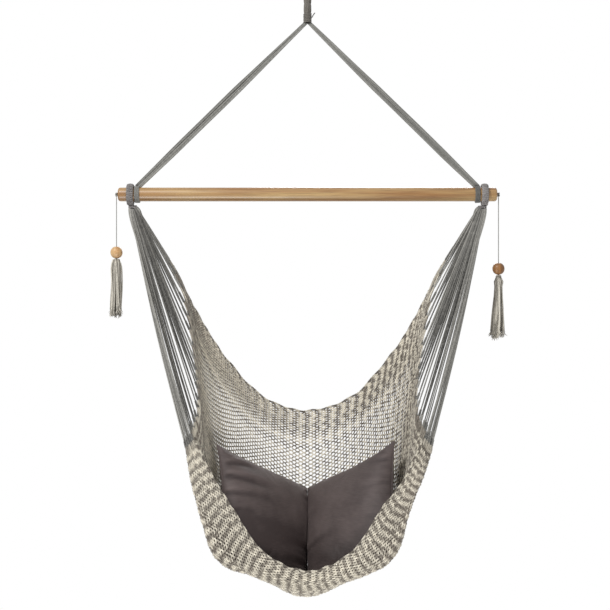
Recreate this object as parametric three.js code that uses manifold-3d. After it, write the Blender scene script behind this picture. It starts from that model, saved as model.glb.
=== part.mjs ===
// Hammock chair: a corded seat with two cushions, hung from one rope by a wooden spreader bar.
// Millimetres, +Z up, +X to the right of a viewer in front, and -Y toward that viewer.
// The origin is the point where the ceiling hook bears on the hanging eye.
import * as THREE from 'three';
import { mergeVertices } from 'three/addons/utils/BufferGeometryUtils.js';
import Module from 'manifold-3d';

const wasm = await Module();
wasm.setup();

// Clearances and cuts
const seatGap = 0.4; // between pieces that rest on each other
const cutOverrun = 40;

// Hanging eye, stem and apex
const eyeRopeDiameter = 12;
const eyeOpeningWidth = 34;
const eyeOpeningHeight = 48;
const eyeBindingDiameter = 31;
const eyeBindingHeight = 26;
const eyeFootDrop = 4.7; // from the bottom of the eye's opening down to the top of its binding
const bindingEdgeRound = 3;
const eyeBindingDomeRadius = 25; // the eye's feet roll on this dome as the rope sways sideways
const stemDiameter = 23;
const stemLength = 57.5;
const stemDomeRadius = 17; // the stem rolls under its binding as the rope sways fore and aft
const apexHeight = 494; // from the axis of the bar up to the bottom of the apex binding
const apexBindingDiameter = 28;
const apexBindingHeight = 29;
const apexTailDiameter = 4;
const apexTailReach = 13; // sideways from the binding
const apexTailLean = 5; // toward the viewer
const apexTailRootHeight = 20; // above the bottom of the binding

// Suspension legs
const legWidth = 21;
const legThickness = 11;
const legEdgeRound = 3.6;
const legInset = 56; // from the end of the bar to the middle of a leg wrap
const legWrapWidth = 17;
const legWrapThickness = 4.6;
const legWrapEdge = 1.5; // its chamfers
const legJoinRise = 14; // the legs' centre lines meet this far above the apex binding's bottom

// Spreader bar
const barLength = 1096;
const barDiameter = 40;
const barEndRound = 7;

// Seat loops over the bar and the bindings under them
const loopWidth = 21;
const loopInset = 35.5; // from the end of the bar to the middle of a loop
const loopThickness = 11;
const loopBoreClearance = 0.8;
const loopNeckDepth = 17;
const loopNeckDrop = 11; // from the bottom of the bar to the top of the binding
const loopBindingWidth = 33;
const loopBindingDepth = 17;
const loopBindingHeight = 11;
const loopBindingRound = 5.6;
const loopBindingInset = 42; // from the end of the bar to the middle of a binding

// Seat strings
const stringDiameter = 3.6;
const stringPitch = 1.9; // between neighbours where they leave the binding
const stringsPerGroup = 5;
const stringGroupGap = 2.7;
const gatherLength = 8;
const gatherThickness = 7;

// Net
const netHalfWidth = 400;
const netDepth = 250;
const netSetBack = 25; // of the whole net, so that the seat hangs plumb under the bar
const netDrop = 1160; // from the axis of the bar down to the lowest point of the net
const netThickness = 6;
const edgeCordDiameter = 8;
const edgeCordGap = 1.3; // from the net's rim to the cord round it
const sideCordDiameter = 7;

// Cushions
const cushionSide = 338;
const cushionThickness = 104;
const cushionCoverWall = 1.8;
const cushionSeam = 5.4; // width of the sewn edge round the cover
const cushionNetGap = 0.4; // between a cushion and the net that it rests in
const cushionCornerPress = 30; // how far the net presses in a cushion's lower outer corner
const cushionFold = 0.77; // radians that each cushion turns forward from a flat back
const cushionSpineGap = 3; // from the middle of the chair to a cushion's spine edge
const zipLength = 203;
const zipWidth = 3;
const zipHeight = 6;
const zipOutside = 4; // of the zip's height, outside the cover's edge
const insertClearance = 10;

// Tassels
const knotDiameter = 15;
const knotWidth = 9; // along the bar
const tasselStringDiameter = 2.6;
const beadDiameter = 35;
const beadHeight = 34;
const beadBore = 4.4;
const tasselHeadDiameter = 21;
const tasselHeadHeight = 11;
const tasselNeckDiameter = 12.6; // at the top of the head
const tasselNeckHeight = 4.4;
const tasselSkirtTopDiameter = 23;
const tasselSkirtDiameter = 44;
const leftSkirtLength = 158;
const rightSkirtLength = 176;
const leftBeadDrop = 151; // from the axis of the bar down to the top of the bead
const rightBeadDrop = 198;

// Mesh density
const roundSides = 24;
const beadSides = 20;
const ropeSides = 16;
const cordSides = 8;
const stringSides = 6;
const eyeSteps = 28;
const arcSteps = 4;
const beadSteps = 8;
const loopSteps = 14;
const knotRings = 8;
const netColumns = 28;
const netRows = 20;
const pillowCells = 12;
const insertCells = 8;

const finish = (color, roughness, metalness = 0) =>
  new THREE.MeshStandardMaterial({ color, roughness, metalness });

// Small helpers

const piece = (name, geometry, material) => {
  const mesh = new THREE.Mesh(geometry, material);
  mesh.name = name;
  return mesh;
};

const solidOf = (geometry) => {
  const bare = geometry.clone();
  bare.deleteAttribute('normal');
  bare.deleteAttribute('uv');
  const merged = mergeVertices(bare);
  return new wasm.Manifold(new wasm.Mesh({
    numProp: 3,
    vertProperties: Float32Array.from(merged.attributes.position.array),
    triVerts: Uint32Array.from(merged.index.array),
  }));
};

const geometryOf = (solid) => {
  const mesh = solid.getMesh();
  const geometry = new THREE.BufferGeometry();
  geometry.setAttribute('position', new THREE.BufferAttribute(mesh.vertProperties, mesh.numProp));
  geometry.setIndex(new THREE.BufferAttribute(mesh.triVerts, 1));
  geometry.computeVertexNormals();
  return geometry;
};

// A tube round a centre line. The section is a regular polygon.
const tube = (curve, diameter, sides, steps) => {
  const section = new THREE.Shape();
  for (let side = 0; side < sides; side++) {
    const angle = (side / sides) * 2 * Math.PI;
    const x = (diameter / 2) * Math.cos(angle);
    const y = (diameter / 2) * Math.sin(angle);
    if (side === 0) section.moveTo(x, y);
    else section.lineTo(x, y);
  }
  section.closePath();
  return new THREE.ExtrudeGeometry(section, { steps, extrudePath: curve });
};

const straightTube = (from, to, diameter, sides) =>
  tube(new THREE.LineCurve3(from, to), diameter, sides, 1);

// A rounded rectangle about the origin, for the sections of flat bands and bindings.
const roundedRectangle = (width, depth, radius) => {
  const shape = new THREE.Shape();
  const x = width / 2;
  const y = depth / 2;
  shape.moveTo(-x + radius, -y);
  shape.lineTo(x - radius, -y);
  shape.absarc(x - radius, -y + radius, radius, -Math.PI / 2, 0);
  shape.lineTo(x, y - radius);
  shape.absarc(x - radius, y - radius, radius, 0, Math.PI / 2);
  shape.lineTo(-x + radius, y);
  shape.absarc(-x + radius, y - radius, radius, Math.PI / 2, Math.PI);
  shape.lineTo(-x, -y + radius);
  shape.absarc(-x + radius, -y + radius, radius, Math.PI, 1.5 * Math.PI);
  return shape;
};

// A turned form about the Z axis. Its profile is a list of [radius, height], from the bottom up.
const turned = (profile, sides = roundSides) => {
  const points = profile.map(([radius, height]) => new THREE.Vector2(radius, height));
  return new THREE.LatheGeometry(points, sides).rotateX(Math.PI / 2);
};

// The upper part of a turned profile: a dome whose top is at the height 0.
const domeProfile = (radius, domeRadius) => {
  const reach = Math.asin(radius / domeRadius);
  const points = [];
  for (let step = 0; step <= arcSteps; step++) {
    const angle = reach * (1 - step / arcSteps);
    points.push([domeRadius * Math.sin(angle), domeRadius * (Math.cos(angle) - 1)]);
  }
  return points;
};

// Hanging eye and stem, in the frame of the hook

// The eye's sides, as shares of its half width and of its opening's height.
const eyeSideShare = 0.85;
const eyeLowShare = 0.6;
const eyeHighShare = 0.2;

const makeEye = () => {
  const sideWidth = ((eyeOpeningWidth + eyeRopeDiameter) / 2) * eyeSideShare;
  const footWidth = eyeBindingDiameter / 2 - eyeRopeDiameter / 2 - seatGap;
  const crown = eyeRopeDiameter / 2;
  const line = new THREE.CatmullRomCurve3([
    new THREE.Vector3(-footWidth, 0, -eyeOpeningHeight - crown),
    new THREE.Vector3(-sideWidth, 0, -eyeOpeningHeight * eyeLowShare),
    new THREE.Vector3(-sideWidth, 0, -eyeOpeningHeight * eyeHighShare),
    new THREE.Vector3(0, 0, crown),
    new THREE.Vector3(sideWidth, 0, -eyeOpeningHeight * eyeHighShare),
    new THREE.Vector3(sideWidth, 0, -eyeOpeningHeight * eyeLowShare),
    new THREE.Vector3(footWidth, 0, -eyeOpeningHeight - crown),
  ]);
  const rope = tube(line, eyeRopeDiameter, cordSides, eyeSteps);
  return piece('hanging_eye', rope, finish(0x77736c, 0.9));
};

const eyeFoot = -eyeOpeningHeight - eyeFootDrop;

const makeEyeBinding = () => {
  const radius = eyeBindingDiameter / 2;
  const binding = piece('eye_binding', turned([
    [0, -eyeBindingHeight],
    [radius - bindingEdgeRound, -eyeBindingHeight],
    [radius, -eyeBindingHeight + bindingEdgeRound],
    ...domeProfile(radius, eyeBindingDomeRadius),
  ]), finish(0x6f6b64, 0.9));
  binding.position.z = eyeFoot;
  return binding;
};

const stemTop = eyeFoot - eyeBindingHeight - seatGap;
const apexTop = stemTop - stemLength - seatGap;
const barHeight = apexTop - apexBindingHeight - apexHeight;

const makeStem = () => {
  const stem = piece('stem_rope', turned([
    [0, -stemLength],
    [stemDiameter / 2, -stemLength],
    ...domeProfile(stemDiameter / 2, stemDomeRadius),
  ], ropeSides), finish(0x77736c, 0.9));
  stem.position.z = stemTop;
  return stem;
};

// Apex, legs, bar and tassels, in the frame of the bar

const makeApexBinding = () => {
  const radius = apexBindingDiameter / 2;
  const body = solidOf(turned([
    [0, 0],
    [radius - bindingEdgeRound, 0],
    [radius, bindingEdgeRound],
    [radius, apexBindingHeight - bindingEdgeRound],
    [radius - bindingEdgeRound, apexBindingHeight],
    [0, apexBindingHeight],
  ]));
  const tailStart = new THREE.Vector3(0, 0, apexTailRootHeight);
  const tailEnd = new THREE.Vector3(radius + apexTailReach, -apexTailLean, apexBindingHeight);
  const tail = solidOf(straightTube(tailStart, tailEnd, apexTailDiameter, cordSides));
  const binding = piece('apex_binding', geometryOf(body.add(tail)), finish(0x6f6b64, 0.9));
  binding.position.z = apexHeight;
  return binding;
};

const legPlace = barLength / 2 - legInset;
const loopPlace = barLength / 2 - loopInset;
const loopBindingPlace = barLength / 2 - loopBindingInset;
const legWrapRadius = barDiameter / 2 + seatGap + legWrapThickness;
const legFootShare = 0.9; // of the wrap's radius, where the leg's centre line ends

const makeLeg = (name, side) => {
  const top = new THREE.Vector3(0, 0, apexHeight + legJoinRise);
  const foot = new THREE.Vector3(side * legPlace, 0, legWrapRadius * legFootShare);
  const span = foot.clone().sub(top);
  const cutWidth = legWidth + 2 * cutOverrun;
  const band = new THREE.ExtrudeGeometry(roundedRectangle(legWidth, legThickness, legEdgeRound), {
    depth: span.length(),
    bevelEnabled: false,
    curveSegments: 2,
  });
  band.rotateY(Math.atan2(span.x, span.z));
  band.translate(top.x, top.y, top.z);
  const wrap = new THREE.CylinderGeometry(
    legWrapRadius + seatGap, legWrapRadius + seatGap, cutWidth, roundSides,
  );
  wrap.rotateZ(Math.PI / 2).translate(foot.x, 0, 0);
  const above = new THREE.BoxGeometry(cutWidth, cutWidth, cutOverrun * 2);
  above.translate(0, 0, apexHeight - seatGap + cutOverrun);
  const across = new THREE.BoxGeometry(cutOverrun * 2, cutWidth, apexHeight);
  across.translate(-side * (cutOverrun - seatGap / 2), 0, apexHeight);
  const leg = solidOf(band).subtract(solidOf(wrap)).subtract(solidOf(above)).subtract(solidOf(across));
  return piece(name, geometryOf(leg), finish(0x84837f, 0.9));
};

const makeLegWrap = (name, side) => {
  const inner = barDiameter / 2 + seatGap;
  const wrap = piece(name, turned([
    [inner, -legWrapWidth / 2],
    [legWrapRadius - legWrapEdge, -legWrapWidth / 2],
    [legWrapRadius, -legWrapWidth / 2 + legWrapEdge],
    [legWrapRadius, legWrapWidth / 2 - legWrapEdge],
    [legWrapRadius - legWrapEdge, legWrapWidth / 2],
    [inner, legWrapWidth / 2],
    [inner, -legWrapWidth / 2],
  ]), finish(0x84837f, 0.9));
  wrap.rotation.y = Math.PI / 2;
  wrap.position.x = side * legPlace;
  return wrap;
};

const makeBar = () => {
  const radius = barDiameter / 2;
  const profile = [[0, -barLength / 2]];
  for (let step = 0; step <= arcSteps; step++) {
    const angle = (step / arcSteps) * (Math.PI / 2);
    profile.push([
      radius - barEndRound + barEndRound * Math.sin(angle),
      -barLength / 2 + barEndRound - barEndRound * Math.cos(angle),
    ]);
  }
  const upper = profile.map(([r, z]) => [r, -z]).reverse();
  const bar = piece('spreader_bar', turned([...profile, ...upper]), finish(0xc8a682, 0.55));
  bar.rotation.y = Math.PI / 2;
  return bar;
};

const knotPlace = (barLength + knotWidth) / 2 + seatGap;

const makeKnot = (name, side) => {
  const ball = new THREE.SphereGeometry(knotDiameter / 2, ropeSides, knotRings);
  const knot = piece(name, ball, finish(0x8a877f, 0.9));
  knot.scale.x = knotWidth / knotDiameter;
  knot.position.x = side * knotPlace;
  return knot;
};

// The skirt's outline, from the bottom up: shares of its bottom radius and of its length.
const skirtProfileShares = [[1, 1], [0.86, 0.5], [0.6, 0.12]];

const makeTassel = (word, side, beadDrop, skirtLength, beadColour) => {
  const tassel = new THREE.Group();
  tassel.position.x = side * knotPlace;
  const stringTop = -knotDiameter / 2 - seatGap;
  const headTop = -beadDrop - beadHeight - seatGap;
  const string = piece(`${word}_tassel_string`, straightTube(
    new THREE.Vector3(0, 0, stringTop),
    new THREE.Vector3(0, 0, headTop + seatGap / 2),
    tasselStringDiameter,
    cordSides,
  ), finish(0x8a877f, 0.9));

  const beadProfile = [];
  const beadRadius = beadDiameter / 2;
  const shoulder = Math.acos(beadBore / beadDiameter);
  for (let step = 0; step <= beadSteps; step++) {
    const angle = -shoulder + (step / beadSteps) * 2 * shoulder;
    beadProfile.push([beadRadius * Math.cos(angle), (beadHeight / 2) * Math.sin(angle)]);
  }
  beadProfile.push([...beadProfile[0]]);
  const bead = piece(`${word}_bead`, turned(beadProfile, beadSides), finish(beadColour, 0.4));
  bead.position.z = -beadDrop - beadHeight / 2;

  const headRadius = tasselHeadDiameter / 2;
  const head = piece(`${word}_tassel_head`, turned([
    [0, -tasselHeadHeight],
    [headRadius, -tasselHeadHeight],
    [headRadius, -tasselNeckHeight],
    [tasselNeckDiameter / 2, 0],
    [0, 0],
  ], ropeSides), finish(0x7f7a6f, 0.95));
  head.position.z = headTop;

  const skirtRadius = tasselSkirtDiameter / 2;
  const skirt = piece(`${word}_tassel_skirt`, turned([
    [0, -skirtLength],
    ...skirtProfileShares.map(([across, down]) => [skirtRadius * across, -skirtLength * down]),
    [tasselSkirtTopDiameter / 2, 0],
    [0, 0],
  ], ropeSides), finish(0x9b9285, 0.95));
  skirt.position.z = headTop - tasselHeadHeight - seatGap;
  tassel.add(string, bead, head, skirt);
  return tassel;
};

// Seat loops and bindings, in the frame of the bar

const loopBore = barDiameter / 2 + loopBoreClearance;
const bindingTop = -barDiameter / 2 - loopNeckDrop;

const loopNeckLean = Math.PI / 5; // where the loop's round outside turns into its neck

const makeSeatLoop = (name, side) => {
  const outer = loopBore + loopThickness;
  const shape = new THREE.Shape();
  shape.moveTo(-loopNeckDepth / 2, bindingTop + seatGap);
  shape.lineTo(loopNeckDepth / 2, bindingTop + seatGap);
  shape.absarc(0, 0, outer, -loopNeckLean, Math.PI + loopNeckLean);
  shape.closePath();
  const bore = new THREE.Path();
  bore.absarc(0, 0, loopBore, 0, 2 * Math.PI);
  shape.holes.push(bore);
  const band = new THREE.ExtrudeGeometry(shape, {
    depth: loopWidth,
    bevelEnabled: false,
    curveSegments: loopSteps,
  });
  band.translate(0, 0, -loopWidth / 2);
  band.rotateX(Math.PI / 2).rotateZ(Math.PI / 2);
  band.translate(side * loopPlace, 0, 0);
  return piece(name, band, finish(0x8c8b85, 0.9));
};

const makeLoopBinding = (name, side) => {
  const section = roundedRectangle(loopBindingWidth, loopBindingDepth, loopBindingRound);
  const block = new THREE.ExtrudeGeometry(section, {
    depth: loopBindingHeight,
    bevelEnabled: false,
    curveSegments: 3,
  });
  const binding = piece(name, block, finish(0x7d7b75, 0.9));
  binding.position.set(side * loopBindingPlace, 0, bindingTop - loopBindingHeight);
  return binding;
};

// The net's middle surface. Each row runs from the left side to the middle of the chair, and the
// rows follow each other from the back edge, down behind the cushions and under the seat, to the
// front edge. The places are shares of the half width, the depth and the drop.
const netAcrossShares = [
  [-0.995, -0.828, -0.612, -0.35, 0],
  [-0.915, -0.795, -0.6, -0.325, 0],
  [-0.875, -0.788, -0.612, -0.325, 0],
  [-0.838, -0.763, -0.588, -0.3, 0],
  [-0.785, -0.745, -0.59, -0.312, 0],
  [-0.79, -0.735, -0.625, -0.32, 0],
  [-0.825, -0.762, -0.625, -0.32, 0],
  [-0.852, -0.775, -0.63, -0.32, 0],
  [-0.79, -0.68, -0.54, -0.3, 0],
];
const netBehindShares = [
  [0.252, 0.5, 0.68, 0.86, 0.988],
  [0.3, 0.46, 0.62, 0.78, 0.888],
  [0.28, 0.36, 0.46, 0.62, 0.76],
  [0.18, 0.2, 0.24, 0.36, 0.42],
  [-0.02, -0.02, -0.06, 0.08, 0.13],
  [-0.2, -0.32, -0.44, -0.24, -0.17],
  [-0.36, -0.66, -0.95, -0.57, -0.44],
  [-0.52, -0.83, -1.03, -0.8, -0.63],
  [-0.65, -0.74, -0.79, -0.78, -0.68],
];
const netBelowShares = [
  [-0.168, -0.3, -0.42, -0.519, -0.562],
  [-0.24, -0.392, -0.52, -0.625, -0.66],
  [-0.309, -0.474, -0.612, -0.724, -0.762],
  [-0.377, -0.56, -0.716, -0.832, -0.866],
  [-0.5, -0.65, -0.798, -0.9, -0.945],
  [-0.565, -0.69, -0.828, -0.934, -0.995],
  [-0.6, -0.728, -0.872, -0.938, -0.98],
  [-0.632, -0.725, -0.838, -0.912, -0.95],
  [-0.606, -0.68, -0.755, -0.865, -0.908],
];

const netRowCurves = netAcrossShares.map((acrossShares, row) => {
  const left = acrossShares.map((across, column) => new THREE.Vector3(
    across * netHalfWidth,
    netBehindShares[row][column] * netDepth + netSetBack,
    netBelowShares[row][column] * netDrop,
  ));
  const right = left.slice(0, -1).reverse().map(({ x, y, z }) => new THREE.Vector3(-x, y, z));
  return new THREE.CatmullRomCurve3([...left, ...right]);
});

// across runs from -1 at the left side to 1 at the right side, down from 0 at the back to 1 in front.
const netPoint = (across, down) => {
  const points = netRowCurves.map((row) => row.getPointAt((across + 1) / 2));
  return new THREE.CatmullRomCurve3(points).getPointAt(down);
};

const netGrid = [];
for (let row = 0; row <= netRows; row++) {
  netGrid.push([]);
  for (let column = 0; column <= netColumns; column++) {
    netGrid[row].push(netPoint((2 * column) / netColumns - 1, row / netRows));
  }
}

const netNormal = (row, column) => {
  const above = netGrid[Math.max(row - 1, 0)][column];
  const below = netGrid[Math.min(row + 1, netRows)][column];
  const left = netGrid[row][Math.max(column - 1, 0)];
  const right = netGrid[row][Math.min(column + 1, netColumns)];
  return right.clone().sub(left).cross(below.clone().sub(above)).normalize();
};

const makeNet = () => {
  const positions = [];
  const index = [];
  const place = (layer, row, column) =>
    (layer * (netRows + 1) + row) * (netColumns + 1) + column;
  for (const layer of [0, 1]) {
    for (let row = 0; row <= netRows; row++) {
      for (let column = 0; column <= netColumns; column++) {
        const shift = netNormal(row, column).multiplyScalar((layer - 0.5) * netThickness);
        positions.push(...netGrid[row][column].clone().add(shift));
      }
    }
  }
  const quad = (a, b, c, d) => index.push(a, b, c, a, c, d);
  const face = (layer, row, column) => [
    place(layer, row, column),
    place(layer, row, column + 1),
    place(layer, row + 1, column + 1),
    place(layer, row + 1, column),
  ];
  // A wall of the rim, from one rim point to the next with the net on its left.
  const wall = (row, column, nextRow, nextColumn) => quad(
    place(0, row, column),
    place(0, nextRow, nextColumn),
    place(1, nextRow, nextColumn),
    place(1, row, column),
  );
  for (let row = 0; row < netRows; row++) {
    for (let column = 0; column < netColumns; column++) {
      quad(...face(1, row, column));
      quad(...face(0, row, column).reverse());
    }
    wall(row + 1, 0, row, 0);
    wall(row, netColumns, row + 1, netColumns);
  }
  for (let column = 0; column < netColumns; column++) {
    wall(0, column, 0, column + 1);
    wall(netRows, column + 1, netRows, column);
  }
  const geometry = new THREE.BufferGeometry();
  geometry.setAttribute('position', new THREE.Float32BufferAttribute(positions, 3));
  geometry.setIndex(index);
  geometry.computeVertexNormals();
  return piece('net', geometry, finish(0xb1ab9d, 0.95));
};

// The cords round the net's rim lie just outside its edge, square to the rim in the net's surface.
const outsideRim = (row, column, rowStep, columnStep, reach) => {
  const edge = netGrid[row][column];
  const alongRow = rowStep === 0 ? 1 : 0;
  const alongColumn = columnStep === 0 ? 1 : 0;
  const last = netGrid[Math.max(row - alongRow, 0)][Math.max(column - alongColumn, 0)];
  const next = netGrid[Math.min(row + alongRow, netRows)][Math.min(column + alongColumn, netColumns)];
  const tangent = next.clone().sub(last).normalize();
  const outward = edge.clone().sub(netGrid[row + rowStep][column + columnStep]);
  outward.addScaledVector(tangent, -outward.dot(tangent)).normalize();
  return edge.clone().addScaledVector(outward, reach);
};

// A curve whose evenly spaced points are the points that it is given, so that a cord's facets
// lie along the net's own.
class RimCurve extends THREE.CatmullRomCurve3 {
  getUtoTmapping(share) {
    return share;
  }
}

const makeEdgeCord = (name, row, rowStep) => {
  const reach = edgeCordDiameter / 2 + edgeCordGap;
  const points = [];
  for (let column = 0; column <= netColumns; column++) {
    points.push(outsideRim(row, column, rowStep, 0, reach));
  }
  const line = new RimCurve(points);
  return piece(name, tube(line, edgeCordDiameter, cordSides, netColumns), finish(0xb1ab9d, 0.95));
};

const sideCordReach = sideCordDiameter / 2 + edgeCordGap;

const sideCordPoints = (side) => {
  const column = side < 0 ? 0 : netColumns;
  const points = [];
  for (let row = 1; row < netRows; row++) {
    points.push(outsideRim(row, column, 0, -side, sideCordReach));
  }
  return points;
};

const leftSideCurve = new RimCurve(sideCordPoints(-1));
const rightSideCurve = new RimCurve(sideCordPoints(1));
const sideCurve = (side) => (side < 0 ? leftSideCurve : rightSideCurve);

const makeSideCord = (name, side) => {
  const cord = tube(sideCurve(side), sideCordDiameter, cordSides, netRows - 2);
  return piece(name, cord, finish(0x8c8b85, 0.9));
};

// One group of seat strings. They leave the binding side by side and spread to the side cord.
const stringGroups = ['back', 'middle', 'front'];

const makeStringGroup = (word, side, groupIndex) => {
  const groupWidth = stringPitch * (stringsPerGroup - 1) + stringDiameter;
  const groupStep = groupWidth + stringGroupGap;
  const groupShift = (groupIndex - (stringGroups.length - 1) / 2) * groupStep;
  const groupMiddle = side * (loopBindingPlace + groupShift);
  const top = bindingTop - loopBindingHeight - seatGap;
  const gather = new THREE.BoxGeometry(groupWidth, gatherThickness, gatherLength);
  gather.translate(groupMiddle, 0, top - gatherLength / 2);
  let solid = solidOf(gather);
  const total = stringsPerGroup * stringGroups.length;
  for (let count = 0; count < stringsPerGroup; count++) {
    const shift = (count - (stringsPerGroup - 1) / 2) * stringPitch;
    const from = new THREE.Vector3(groupMiddle + side * shift, 0, top - stringDiameter / 2);
    const share = (groupIndex * stringsPerGroup + count) / (total - 1);
    const land = sideCurve(side).getPoint(share);
    const tangent = sideCurve(side).getTangent(share);
    const toward = from.clone().sub(land);
    toward.addScaledVector(tangent, -toward.dot(tangent)).normalize();
    const to = land.addScaledVector(toward, (sideCordDiameter + stringDiameter) / 2 + seatGap);
    solid = solid.add(solidOf(straightTube(from, to, stringDiameter, stringSides)));
  }
  const name = `${word}_${stringGroups[groupIndex]}_strings`;
  return piece(name, geometryOf(solid), finish(0x8c8b85, 0.9));
};

// Cushions

const outlinePullShare = 0.04;
const crownPower = 3;
const crownShare = 0.55;
const cornerPower = 8;

const crown = (value) => Math.max(0, 1 - Math.abs(value) ** crownPower) ** crownShare;

// A square whose sides pull in between its corners. The net presses in its lower corner on the
// outer side of the chair, which is -1 for the left and 1 for the right.
const pillow = (side, thickness, cells, outer) => {
  const positions = [];
  const index = [];
  const front = new Map();
  const back = new Map();
  const key = (row, column) => row * (cells + 1) + column;
  for (let row = 0; row <= cells; row++) {
    for (let column = 0; column <= cells; column++) {
      const x = Math.sin(((2 * column) / cells - 1) * (Math.PI / 2));
      const y = Math.sin(((2 * row) / cells - 1) * (Math.PI / 2));
      const height = (thickness / 2) * crown(x) * crown(y);
      const corner = Math.max(0, outer * x) * Math.max(0, -y);
      const press = cushionCornerPress * corner ** cornerPower;
      const px = (side / 2) * x * (1 - outlinePullShare * (1 - y * y)) - outer * press;
      const py = (side / 2) * y * (1 - outlinePullShare * (1 - x * x)) + press;
      const onRim = row === 0 || column === 0 || row === cells || column === cells;
      front.set(key(row, column), positions.length / 3);
      positions.push(px, py, onRim ? 0 : height);
      if (onRim) {
        back.set(key(row, column), front.get(key(row, column)));
      } else {
        back.set(key(row, column), positions.length / 3);
        positions.push(px, py, -height);
      }
    }
  }
  for (let row = 0; row < cells; row++) {
    for (let column = 0; column < cells; column++) {
      const corners = [
        key(row, column),
        key(row, column + 1),
        key(row + 1, column + 1),
        key(row + 1, column),
      ];
      const [a, b, c, d] = corners.map((corner) => front.get(corner));
      const [e, f, g, h] = corners.map((corner) => back.get(corner));
      const flip = (row < cells / 2) !== (column < cells / 2);
      if (flip) {
        index.push(a, b, d, b, c, d, e, h, f, f, h, g);
      } else {
        index.push(a, b, c, a, c, d, e, g, f, e, h, g);
      }
    }
  }
  const geometry = new THREE.BufferGeometry();
  geometry.setAttribute('position', new THREE.Float32BufferAttribute(positions, 3));
  geometry.setIndex(index);
  geometry.computeVertexNormals();
  return geometry;
};

// The two cushions stand in the net like an open book, whose spine leans back along the net.
const spineLeanShare = 0.764; // of the net's depth
const spineRiseShare = 0.2405; // of its drop
const spineFootDepthShare = -0.124;
const spineFootDropShare = 0.988;
const spineLean = new THREE.Vector3(0, spineLeanShare * netDepth, spineRiseShare * netDrop);
const cushionUp = spineLean.normalize();

// The middle, across and facing directions of a cushion, before it comes to rest in the net.
const cushionPlace = (side) => {
  const outward = new THREE.Vector3(side, 0, 0).multiplyScalar(Math.cos(cushionFold));
  const forward = new THREE.Vector3(0, -cushionUp.z, cushionUp.y);
  outward.addScaledVector(forward, Math.sin(cushionFold));
  const across = outward.clone().multiplyScalar(side);
  const facing = across.clone().cross(cushionUp);
  const foot = new THREE.Vector3(
    side * cushionSpineGap,
    spineFootDepthShare * netDepth + netSetBack,
    -spineFootDropShare * netDrop,
  );
  const middle = foot.clone().addScaledVector(outward, cushionSide / 2);
  middle.addScaledVector(cushionUp, cushionSide / 2);
  return new THREE.Matrix4().makeBasis(across, cushionUp, facing).setPosition(middle);
};

// How far up its slide a cushion comes to rest, a gap clear of the net and its front cord.
const restDirection = new THREE.Vector3(0, 0.2497, 0.9683);

const restHeight = (side) => {
  const grown = 2 * cushionNetGap;
  const shape = pillow(cushionSide + grown, cushionThickness + grown, pillowCells, side);
  const cushion = solidOf(shape.applyMatrix4(cushionPlace(side)));
  const frontCord = makeEdgeCord('front_edge_cord', netRows, -1);
  const seat = [makeNet(), frontCord].map((mesh) => solidOf(mesh.geometry));
  let clear = cushionSide / 2;
  let touching = -cushionThickness;
  while (clear - touching > seatGap / 4) {
    const height = (clear + touching) / 2;
    const raised = cushion.translate(restDirection.clone().multiplyScalar(height).toArray());
    if (seat.every((solid) => raised.intersect(solid).isEmpty())) clear = height;
    else touching = height;
  }
  return clear;
};

const makeCushion = (word, side) => {
  const cushion = new THREE.Group();
  cushionPlace(side).decompose(cushion.position, cushion.quaternion, cushion.scale);
  cushion.position.addScaledVector(restDirection, restHeight(side));

  const coverMaterial = finish(0x53494a, 0.7);
  const fillingThickness = cushionThickness - 2 * cushionCoverWall;
  const outer = solidOf(pillow(cushionSide, cushionThickness, pillowCells, side));
  const inner = solidOf(pillow(cushionSide - 2 * cushionSeam, fillingThickness, pillowCells, side));
  const zipPlace = -(cushionSide / 2) * (1 - outlinePullShare) + zipHeight / 2 - zipOutside;
  const slot = new THREE.BoxGeometry(
    zipLength + 2 * seatGap,
    2 * zipHeight + cushionSeam,
    zipWidth + 2 * seatGap,
  );
  slot.translate(0, zipPlace, 0);
  const cover = outer.subtract(inner).subtract(solidOf(slot));
  const insertSide = cushionSide - 2 * (cushionSeam + insertClearance);
  const insert = pillow(insertSide, fillingThickness - 2 * seatGap, insertCells, side);
  const zip = new THREE.BoxGeometry(zipLength, zipHeight, zipWidth);
  zip.translate(0, zipPlace, 0);
  cushion.add(
    piece(`${word}_cushion_cover`, geometryOf(cover), coverMaterial),
    piece(`${word}_cushion_insert`, insert, finish(0xe8e6df, 0.95)),
    piece(`${word}_cushion_zip`, zip, finish(0x2c2625, 0.6)),
  );
  return cushion;
};

// The whole chair

const chair = new THREE.Group();
chair.add(makeEye(), makeEyeBinding(), makeStem());

const barFrame = new THREE.Group();
barFrame.position.z = barHeight;
barFrame.add(makeApexBinding(), makeBar(), makeNet());
barFrame.add(makeEdgeCord('back_edge_cord', 0, 1), makeEdgeCord('front_edge_cord', netRows, -1));
for (const [word, side] of [['left', -1], ['right', 1]]) {
  barFrame.add(makeLeg(`${word}_suspension_leg`, side), makeLegWrap(`${word}_leg_wrap`, side));
  barFrame.add(makeSeatLoop(`${word}_seat_loop`, side), makeLoopBinding(`${word}_loop_binding`, side));
  barFrame.add(makeSideCord(`${word}_side_cord`, side), makeCushion(word, side));
  barFrame.add(makeKnot(`${word}_bar_knot`, side));
  stringGroups.forEach((group, index) => barFrame.add(makeStringGroup(word, side, index)));
}
barFrame.add(makeTassel('left', -1, leftBeadDrop, leftSkirtLength, 0xc3a579));
barFrame.add(makeTassel('right', 1, rightBeadDrop, rightSkirtLength, 0x9a6f4c));
chair.add(barFrame);

export default chair;
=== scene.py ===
"""Looks of a hammock chair: a knotted net seat with two cushions, hung by cords from a wooden bar."""
import math

import bpy
import numpy as np
from mathutils import Matrix, Vector


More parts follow.
